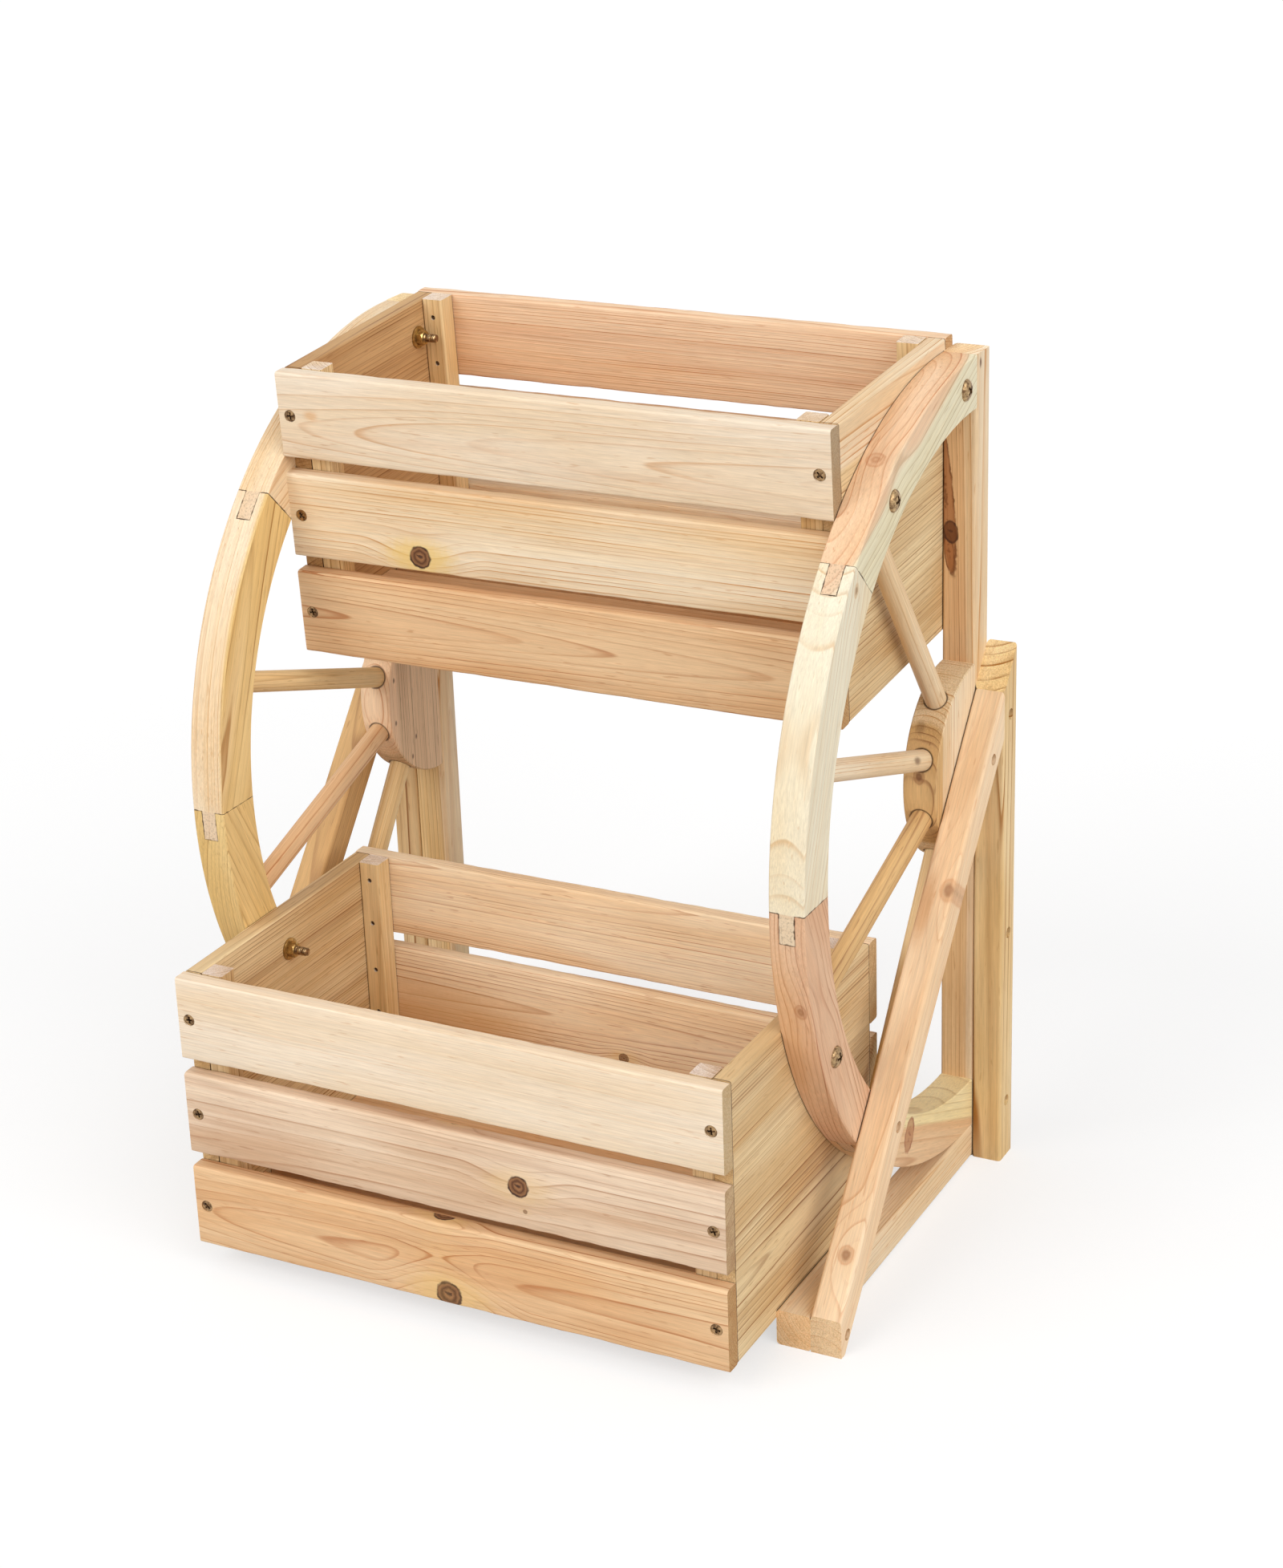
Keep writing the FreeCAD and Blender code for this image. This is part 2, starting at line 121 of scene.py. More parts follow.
class Wiring:
    """A node tree, with short ways to add nodes to it and link them."""

    def __init__(self, tree):
        self.tree = tree

    def feed(self, socket, value):
        if isinstance(value, bpy.types.NodeSocket):
            self.tree.links.new(value, socket)
        else:
            socket.default_value = value

    def add(self, kind, inputs=None, **settings):
        node = self.tree.nodes.new(kind)
        for name, value in settings.items():
            setattr(node, name, value)
        for key, value in (inputs or {}).items():
            self.feed(node.inputs[key], value)
        return node

    def math(self, operation, *values):
        node = self.add("ShaderNodeMath", operation=operation)
        for socket, value in zip(node.inputs, values):
            self.feed(socket, value)
        return node.outputs[0]

    def plus(self, first, second):
        return self.math("ADD", first, second)

    def less(self, first, second):
        return self.math("SUBTRACT", first, second)

    def times(self, first, second):
        return self.math("MULTIPLY", first, second)

    def times_plus(self, first, second, third):
        return self.math("MULTIPLY_ADD", first, second, third)

    def size(self, value):
        return self.math("ABSOLUTE", value)

    def vector(self, operation, *values):
        node = self.add("ShaderNodeVectorMath", operation=operation)
        for socket, value in zip(node.inputs, values):
            self.feed(socket, value)
        return node.outputs["Value" if operation in ("LENGTH", "DOT_PRODUCT") else "Vector"]

    def dot(self, first, second):
        return self.vector("DOT_PRODUCT", first, second)

    def length(self, arrow):
        return self.vector("LENGTH", arrow)

    def scaled(self, arrow, share):
        node = self.add("ShaderNodeVectorMath", {0: arrow, "Scale": share}, operation="SCALE")
        return node.outputs["Vector"]

    def group(self, tree, inputs):
        return self.add("ShaderNodeGroup", inputs, node_tree=tree).outputs

    def noise(self, place, stretch, detail=2.0, roughness=0.5):
        """Noise from 0 to 1; stretch is how fine it is, in all directions or along each axis."""
        if not isinstance(stretch, tuple):
            stretch = (stretch, stretch, stretch)
        scaled = self.vector("MULTIPLY", place, stretch)
        settings = {"Vector": scaled, "Scale": 1.0, "Detail": detail, "Roughness": roughness}
        return self.add("ShaderNodeTexNoise", settings).outputs["Fac"]

    def ripple(self, place, stretch, detail=2.0):
        """Noise about zero."""
        return self.less(self.noise(place, stretch, detail), 0.5)

    def fade(self, value, low, high, to_low=0.0, to_high=1.0):
        settings = {"Value": value, "From Min": low, "From Max": high, "To Min": to_low, "To Max": to_high}
        return self.add("ShaderNodeMapRange", settings, interpolation_type="SMOOTHSTEP").outputs[0]

    def mix(self, share, first, second, blend="MIX"):
        node = self.add("ShaderNodeMix", data_type="RGBA", blend_type=blend)
        for key, value in ((0, share), (6, first), (7, second)):
            self.feed(node.inputs[key], value)
        return node.outputs[2]

    def lay(self, colour, shade, share, strength):
        """A colour with a shade laid over it, as far as a share times a strength."""
        return self.mix(self.times(share, strength), colour, shade)

    def multiplied(self, colour, tint):
        return self.mix(1.0, colour, tint, "MULTIPLY")

    def crevice(self, reach):
        """Low in gaps and holes narrower than reach, and 1 in the open; it masks painted shade."""
        return self.add("ShaderNodeAmbientOcclusion", {"Distance": reach}, samples=8).outputs["AO"]

    def bump(self, strength, distance, height):
        settings = {"Strength": strength, "Distance": distance, "Height": height}
        return self.add("ShaderNodeBump", settings).outputs["Normal"]


def add_sockets(tree, inputs, outputs):
    """Gives a node tree named sockets, listed by their kinds."""
    for direction, sockets in (("INPUT", inputs), ("OUTPUT", outputs)):
        for kind, names in sockets.items():
            for name in names:
                tree.interface.new_socket(name, in_out=direction, socket_type="NodeSocket" + kind)


def new_group(name, inputs, outputs):
    """An empty shader group with named sockets, and its wiring, inputs and outputs."""
    tree = bpy.data.node_groups.new(name, "ShaderNodeTree")
    add_sockets(tree, inputs, outputs)
    wiring = Wiring(tree)
    entry = wiring.add("NodeGroupInput")
    result = wiring.add("NodeGroupOutput")
    return tree, wiring, entry.outputs, result.inputs


def new_material(name):
    """An empty material, its wiring and the inputs of its surface shader."""
    material = bpy.data.materials.new(name)
    material.use_nodes = True
    return material, Wiring(material.node_tree), material.node_tree.nodes["Principled BSDF"].inputs


# Pine: growth rings round a pith that lies along X at the origin of the timber's own coordinates

def growth_rings():
    """How much latewood there is at each place, a number for the year it grew in, and how far out that is."""
    inputs = {"Vector": ["Place"], "Float": ["Push", "Ring Width", "Waviness"]}
    tree, w, given, result = new_group("growth_rings", inputs, {"Float": ["Latewood", "Year", "Reach"]})
    place = given["Place"]
    slow_sway, quick_sway = 2.4, 0.18
    sway = w.times(w.ripple(place, (14, 70, 70)), quick_sway)
    sway = w.times_plus(w.ripple(place, (3.0, 15, 15), 1.0), slow_sway, sway)
    radius = w.length(w.vector("MULTIPLY", place, (0, 1, 1)))
    reach = w.plus(w.times_plus(sway, given["Waviness"], radius), given["Push"])
    count = w.math("DIVIDE", reach, given["Ring Width"])
    unevenness = 2.0
    uneven = w.add("ShaderNodeTexNoise", {"W": count, "Scale": 0.37, "Detail": 1.0}, noise_dimensions="1D")
    count = w.times_plus(uneven.outputs["Fac"], unevenness, count)
    part = w.math("FRACT", count)
    late_start, late_full, late_stop = 0.72, 0.92, 0.93
    early_glow, late_rise = 0.3, 0.7
    glow = w.times(w.math("POWER", part, 2.5), early_glow)
    rise = w.times_plus(w.fade(part, late_start, late_full), late_rise, glow)
    late = w.times(rise, w.fade(part, late_stop, 1.0, 1.0, 0.0))
    year = w.add("ShaderNodeTexWhiteNoise", {"W": w.math("FLOOR", count)}, noise_dimensions="1D")
    year = year.outputs["Value"]
    weakest_year = 0.25
    weight = w.times_plus(year, 1 - weakest_year, weakest_year)
    w.feed(result["Latewood"], w.times(late, weight))
    w.feed(result["Year"], year)
    w.feed(result["Reach"], reach)
    return tree


def branch_knot():
    """A knot that runs straight through a board: its wood, dark bark line, halo and push on the rings."""
    inputs = {"Vector": ["Place", "Middle", "Direction", "Grain"], "Float": ["Length", "Radius"]}
    outputs = {"Float": ["Body", "Soft", "Bark", "Halo", "Push", "Rings"]}
    tree, w, given, result = new_group("branch_knot", inputs, outputs)
    offset = w.vector("SUBTRACT", given["Place"], given["Middle"])
    rough = w.ripple(offset, 260)
    body_rough, crack_rough, halo_rough = 0.32, 1.4, 0.9
    flow_squash, push_share, ring_count = 0.5, 0.9, 3.6
    direction, grain = given["Direction"], given["Grain"]
    flat = w.vector("SUBTRACT", offset, w.scaled(direction, w.dot(offset, direction)))
    run = w.dot(flat, grain)
    squeezed = w.math("DIVIDE", run, given["Length"])
    body = w.vector("SUBTRACT", flat, w.scaled(grain, w.less(run, squeezed)))
    flow = w.vector("SUBTRACT", body, w.scaled(grain, w.times(squeezed, flow_squash)))
    # The distances from the knot's middle that follow, share and flow, are in radii of the knot
    share = w.math("DIVIDE", w.length(body), given["Radius"])
    share = w.times_plus(rough, body_rough, share)
    flow = w.math("DIVIDE", w.length(flow), given["Radius"])
    w.feed(result["Body"], w.fade(share, 0.9, 1.05, 1.0, 0.0))
    w.feed(result["Soft"], w.fade(share, 0.3, 1.25, 1.0, 0.0))
    bark = w.times(w.fade(share, 0.74, 0.92), w.fade(share, 0.97, 1.1, 1.0, 0.0))
    bark = w.times(bark, w.fade(w.noise(offset, 90, 1.0), 0.35, 0.6, 0.35, 1.0))
    crack = w.fade(w.times_plus(rough, crack_rough, share), 0.05, 0.3, 0.8, 0.0)
    w.feed(result["Bark"], w.math("MAXIMUM", bark, crack))
    w.feed(result["Halo"], w.fade(w.times_plus(rough, halo_rough, flow), 0.7, 2.3, 1.0, 0.0))
    push = w.times(given["Radius"], push_share)
    w.feed(result["Push"], w.times(w.fade(flow, 0.3, 3.4, 1.0, 0.0), push))
    w.feed(result["Rings"], w.math("PINGPONG", w.times(share, ring_count), 1.0))
    return tree


def pine_surface():
    """Colour, roughness and relief of planed pine, with end grain where the cut crosses the fibres."""
    inputs = {"Vector": ["Place"], "Color": ["Pale", "Warm", "Late", "End Shade"],
              "Float": ["Latewood", "Year", "End Cut", "Ring Strength", "Streaks"]}
    outputs = {"Color": ["Colour"], "Float": ["Roughness", "Relief"]}
    tree, w, given, result = new_group("pine_surface", inputs, outputs)
    place, late, end_cut = given["Place"], given["Late"], given["End Cut"]
    cloud = w.noise(place, (5, 26, 26))
    year_warmth = 0.3
    warmth = w.times_plus(given["Year"], year_warmth, w.fade(cloud, 0.3, 0.75, -0.1, 0.9))
    colour = w.mix(w.math("MAXIMUM", warmth, 0.0), given["Pale"], given["Warm"])
    patch = w.fade(w.noise(place, (7, 45, 45), 1.0), 0.32, 0.66, 0.35, 1.0)
    colour = w.lay(colour, late, w.times(given["Latewood"], given["Ring Strength"]), patch)
    streak = w.noise(place, (3.5, 120, 120), 2.0, 0.55)
    colour = w.lay(colour, late, w.fade(streak, 0.42, 0.78), given["Streaks"])
    fleck, fleck_strength = w.noise(place, (65, 620, 620), 1.0), 0.4
    colour = w.lay(colour, late, w.fade(fleck, 0.66, 0.78), fleck_strength)
    fibre = w.noise(place, (9, 760, 760), 2.0, 0.6)
    hair = w.noise(place, (60, 1500, 1500), 2.0, 0.6)
    fibre_contrast, hair_contrast = 0.34, 0.36
    grain = w.times_plus(w.less(fibre, 0.5), fibre_contrast, 1.0)
    grain = w.times_plus(w.less(hair, 0.5), hair_contrast, grain)
    shade = w.add("ShaderNodeCombineColor", {"Red": grain, "Green": grain, "Blue": grain}).outputs[0]
    colour = w.multiplied(colour, shade)
    pores = w.fade(w.noise(place, 1100, 2.0, 0.6), 0.35, 0.65)
    open_pores = w.mix(pores, (0.84, 0.79, 0.7, 1.0), WHITE)
    sawn = w.multiplied(w.multiplied(colour, open_pores), given["End Shade"])
    w.feed(result["Colour"], w.mix(end_cut, colour, sawn))
    planed_roughness, fibre_roughness, sawn_roughness = 0.5, 0.16, 0.2
    rough = w.times_plus(fibre, fibre_roughness, planed_roughness)
    w.feed(result["Roughness"], w.times_plus(end_cut, sawn_roughness, rough))
    late_relief, fibre_relief, pore_relief = 0.3, 0.6, 0.8
    relief = w.times_plus(given["Latewood"], late_relief, w.times(fibre, fibre_relief))
    w.feed(result["Relief"], w.times_plus(w.times(pores, end_cut), pore_relief, relief))
    return tree


RINGS = growth_rings()
KNOT = branch_knot()
SURFACE = pine_surface()

# Tones of the boards: plain wood, its warmer patches, and latewood
TONES = {
    "ivory": ((238, 228, 203), (235, 217, 182), (208, 164, 110)),
    "cream": ((240, 222, 198), (236, 211, 178), (204, 150, 100)),
    "blond": ((243, 224, 194), (234, 202, 158), (196, 132, 64)),
    "straw": ((241, 214, 166), (230, 192, 132), (168, 112, 52)),
    "honey": ((231, 195, 152), (222, 175, 126), (176, 106, 54)),
    "peach": ((246, 215, 180), (239, 197, 154), (200, 130, 80)),
    "copper": ((231, 194, 160), (221, 174, 136), (164, 94, 56)),
    "rose": ((239, 204, 168), (231, 187, 142), (190, 112, 62)),
    "apricot": ((249, 222, 186), (242, 204, 160), (206, 140, 88)),
    "khaki": ((238, 206, 144), (224, 186, 118), (160, 110, 50)),
    "almond": ((252, 230, 196), (246, 213, 170), (182, 110, 58)),
    "amber": ((244, 211, 163), (233, 192, 143), (166, 104, 56)),
    "driftwood": ((236, 201, 162), (216, 179, 140), (132, 94, 64)),
    "russet": ((210, 170, 120), (194, 150, 100), (140, 92, 48)),
    "fawn": ((236, 211, 183), (214, 179, 145), (166, 112, 74)),
    "tan": ((234, 208, 162), (208, 170, 118), (146, 94, 48)),
    "sage": ((238, 229, 199), (231, 217, 180), (178, 150, 98)),
    "wheat": ((246, 230, 184), (238, 213, 158), (176, 132, 74)),
    "umber": ((222, 182, 126), (206, 162, 106), (136, 82, 46)),
}
# Dark colour of the joint lines on the rims, also used for painted shade in crevices and for painted shadow
# lines at butted ends and round spoke holes
JOINT_LINE_AND_SHADE = paint(74, 50, 32)
TENON_END = paint(226, 196, 164)
TENON_SPECK = paint(112, 84, 62)
# Colour of the painted shade in the driver slots of screws and bolts
PAINTED_SLOT_SHADE = paint(40, 30, 24)

# Colours of knots and stains, and of painted shadows
BARK = paint(62, 36, 24)
KNOT_DARK = paint(86, 50, 28)
KNOT_PALE = paint(158, 110, 70)
KNOT_HALO = paint(236, 198, 112)
RESIN = paint(92, 50, 28)
ORANGE = paint(222, 158, 84)
CARAMEL = paint(208, 140, 72)
HEARTWOOD_AND_SHADE = paint(214, 158, 90)
RED_HEART = paint(150, 84, 54)
BROWN_STREAK = paint(172, 112, 66)
PAINTED_BRACE_SHADOW = paint(182, 132, 72)
PITCH = paint(112, 64, 32)


def tone_colours(tone):
    """The three colours of a tone."""
    return [paint(*levels) for levels in TONES[tone]]


def knot(x, y, z, radius, direction=ALONG, dark=1.0, length=1.0, halo=0.3):
    """A knot: its middle in metres, its radius in millimetres and the way it runs through the wood.

    A sound knot, under half dark, has the wood's own colours. length stretches it along the grain.
    """
    return {"spot": Vector((x, y, z)), "radius": radius / 1000, "direction": direction, "dark": dark,
            "length": length, "halo": halo, "shade": None, "run": None}


def stain(x, y, z, radius, direction=ALONG, shade=RESIN, strength=0.6, length=1.0, edge=None, run=None):
    """A patch of another colour, placed like a knot, which leaves the growth rings alone.

    It fades out softly, or ends crisply at a line of the colour edge. It is long the way of run,
    or else of the grain.
    """
    return {"spot": Vector((x, y, z)), "radius": radius / 1000, "direction": direction, "length": length,
            "shade": shade, "strength": strength, "edge": edge, "run": run}


def marked(w, colour, late, branch, growth):
    """A wood's colour with one knot or stain on it."""
    body, soft, bark, ringed = branch["Body"], branch["Soft"], branch["Bark"], branch["Rings"]
    shade = growth["shade"]
    if shade is not None and growth["edge"] is None:
        return w.lay(colour, shade, soft, growth["strength"])
    if shade is not None:
        edge_strength = 0.8
        colour = w.lay(colour, shade, body, growth["strength"])
        return w.lay(colour, growth["edge"], bark, edge_strength)
    colour = w.lay(colour, KNOT_HALO, branch["Halo"], growth["halo"])
    dark, dead_knot = growth["dark"], 0.5
    if dark >= dead_knot:
        colour = w.lay(colour, w.mix(ringed, KNOT_DARK, KNOT_PALE), body, dark)
        return w.lay(colour, BARK, bark, dark ** 2)
    flush, ring_strength, heart_focus = 0.1, 0.4, 6.0
    colour = w.lay(colour, late, soft, dark + flush)
    colour = w.lay(colour, late, body, w.times(ringed, ring_strength))
    return w.lay(colour, KNOT_DARK, w.math("POWER", soft, heart_focus), dark)


def with_rim_joints(w, colour, place):
    """A rim's colour with dark lines along its bridle joints, and the patches of tenon that they enclose."""
    x, y, z = w.add("ShaderNodeSeparateXYZ", {"Vector": place}).outputs
    ahead = w.less(hub_y, y)
    above = w.less(z, hub_z)
    turn = w.math("DIVIDE", w.math("ARCTAN2", above, ahead), segment_angle)
    joint = w.math("ROUND", turn)
    radius = w.math("SQRT", w.plus(w.times(ahead, ahead), w.times(above, above)))
    past = w.times(w.less(turn, joint), w.times(radius, segment_angle))
    edge = w.less(w.size(w.less(w.size(x), frame_middle_x)), tenon_thickness / 2)
    inside = w.math("LESS_THAN", edge, 0.0)
    deep = w.plus(past, tenon_length)
    below = w.times(w.math("LESS_THAN", past, 0.0), w.math("GREATER_THAN", deep, 0.0))
    far = 1.0
    shoulder = w.times_plus(inside, far, w.size(past))
    cheek = w.times_plus(w.less(1.0, below), far, w.size(edge))
    end = w.times_plus(w.less(1.0, inside), far, w.size(deep))
    nearest = w.math("MINIMUM", shoulder, w.math("MINIMUM", cheek, end))
    raggedness, line_core, line_edge = 0.0014, 0.0002, 0.0006
    ragged = w.times(w.ripple(place, 420), raggedness)
    line = w.fade(w.plus(nearest, ragged), line_core, line_edge, 1.0, 0.0)
    broken = w.fade(w.noise(place, 150, 1.0), 0.38, 0.58, 0.0, 0.85)
    past_last_joint = 1.5
    between_segments = w.math("LESS_THAN", w.size(joint), past_last_joint)
    patch = w.times(w.times(inside, below), between_segments)
    end_strength, speck_strength = 0.6, 0.35
    colour = w.lay(colour, TENON_END, patch, end_strength)
    speck = w.fade(w.noise(place, 700), 0.48, 0.7)
    colour = w.lay(colour, TENON_SPECK, w.times(patch, speck), speck_strength)
    return w.lay(colour, JOINT_LINE_AND_SHADE, w.times(line, broken), between_segments)


def with_socket_shadow(w, colour, place, spoke):
    """A colour with a painted shadow line round the hole where a spoke enters the wood."""
    from_hub = w.vector("SUBTRACT", w.vector("MULTIPLY", place, (0, 1, 1)), (0, hub_y, hub_z))
    beside = w.vector("MULTIPLY", w.vector("CROSS_PRODUCT", from_hub, spoke), ACROSS)
    sideways = w.less(w.size(w.dot(place, ACROSS)), frame_middle_x)
    away = w.length(w.vector("ADD", beside, w.scaled(UP, sideways)))
    line_core, line_edge, line_strength = 0.0003, 0.0014, 0.8
    from_line = w.size(w.less(away, socket_radius))
    return w.mix(w.fade(from_line, line_core, line_edge, line_strength, 0.0), colour, JOINT_LINE_AND_SHADE)


def with_butt_shadow_lines(w, colour, place, from_middle, length, end_cut):
    """A board's colour with a ragged painted shadow line at both ends, where it butts against others, but not
    on the sawn ends themselves.
    """
    from_end = w.less(length / 2, w.size(from_middle))
    raggedness, seam_core, seam_edge, seam_strength = 0.0012, 0.0005, 0.0011, 0.85
    ragged = w.times(w.ripple(place, 160), raggedness)
    gap_shadow = w.fade(w.plus(from_end, ragged), seam_core, seam_edge, seam_strength, 0.0)
    return w.lay(colour, JOINT_LINE_AND_SHADE, gap_shadow, w.less(1.0, end_cut))


def pine(name, tone, middle, axes, pith, ring=4.0, tilt=(0.0, 0.0), strength=0.6, streaks=0.1, wave=0.003,
         knots=(), joints=False, sapwood=None, end_shade=plain_end, butted_length=None, sockets=(),
         reach=seam_reach):
    """A pine finish for one piece.

    axes are the directions of its grain and its width; its depth is square to both. pith says where
    the heart of the tree lies from the piece's middle along width and depth, in millimetres, and tilt
    how far the grain slopes towards them, in degrees. sapwood is the tone beyond a distance from the
    heart, in millimetres, and end_shade the tint of the sawn ends. A board whose ends butt against
    others, butted_length apart, has a painted shadow line there. sockets are the directions of the
    spokes that enter the piece, each with a painted shadow line round its hole, and reach is how
    narrow a crevice must be to get painted shade.
    """
    material, w, shader = new_material(name)
    grain, wide = axes
    lean = Matrix.Rotation(math.radians(tilt[0]), 3, "Z") @ Matrix.Rotation(math.radians(tilt[1]), 3, "Y")
    turn = lean @ Matrix((grain, wide, grain.cross(wide)))
    log_reach = 9
    along_log = dice.uniform(-log_reach, log_reach)
    shift = Vector((along_log, -pith[0] / 1000, -pith[1] / 1000)) - turn @ middle
    coordinates = w.add("ShaderNodeTexCoord").outputs
    place = coordinates["Object"]
    settings = {"Vector": place, "Location": shift, "Rotation": turn.to_euler("XYZ")}
    own = w.add("ShaderNodeMapping", settings, vector_type="POINT").outputs["Vector"]
    ends_start, ends_full = 0.4, 0.64
    end_cut = w.fade(w.size(w.dot(coordinates["Normal"], grain)), ends_start, ends_full)
    push = 0.0
    branches = []
    for growth in knots:
        branch = w.group(KNOT, {"Place": place, "Middle": growth["spot"], "Direction": growth["direction"],
                                "Grain": growth["run"] or grain, "Length": growth["length"],
                                "Radius": growth["radius"]})
        if growth["shade"] is None:
            push = w.plus(push, branch["Push"])
        branches.append((branch, growth))
    rings = w.group(RINGS, {"Place": own, "Push": push, "Ring Width": ring / 1000, "Waviness": wave})
    colours = tone_colours(tone)
    if sapwood:
        outer, start = sapwood
        blur = 2
        share = w.fade(rings["Reach"], (start - blur) / 1000, (start + blur) / 1000)
        colours = [w.mix(share, inner, later) for inner, later in zip(colours, tone_colours(outer))]
    pale, warm, late = colours
    surface = w.group(SURFACE, {"Place": own, "Latewood": rings["Latewood"], "Year": rings["Year"],
                                "End Cut": end_cut, "Pale": pale, "Warm": warm, "Late": late,
                                "Ring Strength": strength, "Streaks": streaks, "End Shade": end_shade})
    colour = surface["Colour"]
    for branch, growth in branches:
        colour = marked(w, colour, late, branch, growth)
    for spoke in sockets:
        colour = with_socket_shadow(w, colour, place, spoke)
    if butted_length:
        from_middle = w.dot(w.vector("SUBTRACT", place, middle), grain)
        colour = with_butt_shadow_lines(w, colour, place, from_middle, butted_length, end_cut)
    if joints:
        colour = with_rim_joints(w, colour, place)
    # Painted shade: crevices narrower than reach are darkened towards the joint-line colour
    colour = w.mix(w.fade(w.crevice(reach), 0.06, 0.46, 0.85, 0.0), colour, JOINT_LINE_AND_SHADE)
    w.feed(shader["Base Color"], colour)
    w.feed(shader["Roughness"], surface["Roughness"])
    w.feed(shader["Normal"], w.bump(strength=0.35, distance=0.0004, height=surface["Relief"]))
    shader["Specular IOR Level"].default_value = 0.3
    return material


def middle_of(name):
    """The middle of a CAD piece."""
    low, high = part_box(name)
    return (low + high) / 2


def board(name, tone, axes, pith, **looks):
    """Finishes a CAD piece in pine."""
    finish = pine("pine_" + name, tone, middle_of(name), axes, pith, **looks)
    for slot in cad[name].material_slots:
        slot.material = finish


def plated(name, pale, dark, metal, roughness):
    """Plated steel with a slightly cloudy, fingered surface and painted shade in its slots."""
    material, w, shader = new_material(name)
    cloud = w.noise(w.add("ShaderNodeTexCoord").outputs["Object"], 420, 3.0, 0.6)
    colour = w.mix(w.fade(cloud, 0.3, 0.7), paint(*pale), paint(*dark))
    # Painted shade: the driver slots darken where ambient occlusion finds a narrow recess
    colour = w.mix(w.fade(w.crevice(slot_reach), 0.2, 0.75, 0.85, 0.0), colour, PAINTED_SLOT_SHADE)
    roughness_spread = 0.2
    w.feed(shader["Base Color"], colour)
    w.feed(shader["Roughness"], w.fade(cloud, 0.2, 0.8, roughness, roughness + roughness_spread))
    w.feed(shader["Normal"], w.bump(strength=0.2, distance=0.0001, height=cloud))
    shader["Metallic"].default_value = metal
    return material


yellow_zinc = plated("yellow_zinc", (184, 150, 108), (92, 66, 46), 0.9, 0.32)
bright_zinc = plated("bright_zinc", (202, 170, 124), (108, 80, 56), 0.9, 0.28)
brassy_zinc = plated("brassy_zinc", (206, 174, 112), (150, 116, 66), 0.9, 0.28)
dull_steel = plated("dull_steel", (120, 100, 82), (78, 62, 50), 0.8, 0.5)


# Where the fasteners are

def solids_of(name):
    """The separate solids of a CAD piece, each as an array of its points."""
    mesh = bmesh.new()
    mesh.from_mesh(cad[name].data)
    bmesh.ops.remove_doubles(mesh, verts=mesh.verts, dist=1e-6)
    mesh.verts.index_update()
    seen = set()
    solids = []
    for start in mesh.verts:
        if start.index in seen:
            continue
        seen.add(start.index)
        reached = [start]
        for vertex in reached:
            for edge in vertex.link_edges:
                other = edge.other_vert(vertex)
                if other.index not in seen:
                    seen.add(other.index)
                    reached.append(other)
        solids.append(np.array([vertex.co for vertex in reached]))
    mesh.free()
    return solids


def driven_places(name):
    """Where each screw, nail or bolt has the top of its head and the way that faces, and their length."""
    places = []
    for points in solids_of(name):
        middle = points.mean(axis=0)
        axis = np.linalg.svd(points - middle)[2][0]
        along = (points - middle) @ axis
        spread = np.linalg.norm(points - middle - np.outer(along, axis), axis=1)
        if along[spread.argmax()] < 0:
            axis = -axis
            along = -along
        places.append((Vector(middle + axis * along.max()), Vector(axis)))
    return places, float(np.ptp(along))


def seated_places(name):
    """Where each washer or nut lies against what carries it, and the way it faces, into the box."""
    places = []
    for points in solids_of(name):
        middle = points.mean(axis=0)
        inward = np.array([-np.sign(middle[0]), 0.0, 0.0])
        reach = (points - middle) @ inward
        places.append((Vector(middle + inward * reach.min()), Vector(inward)))
    return places


# Geometry node trees: each makes one shape and sets it out at the points it is given

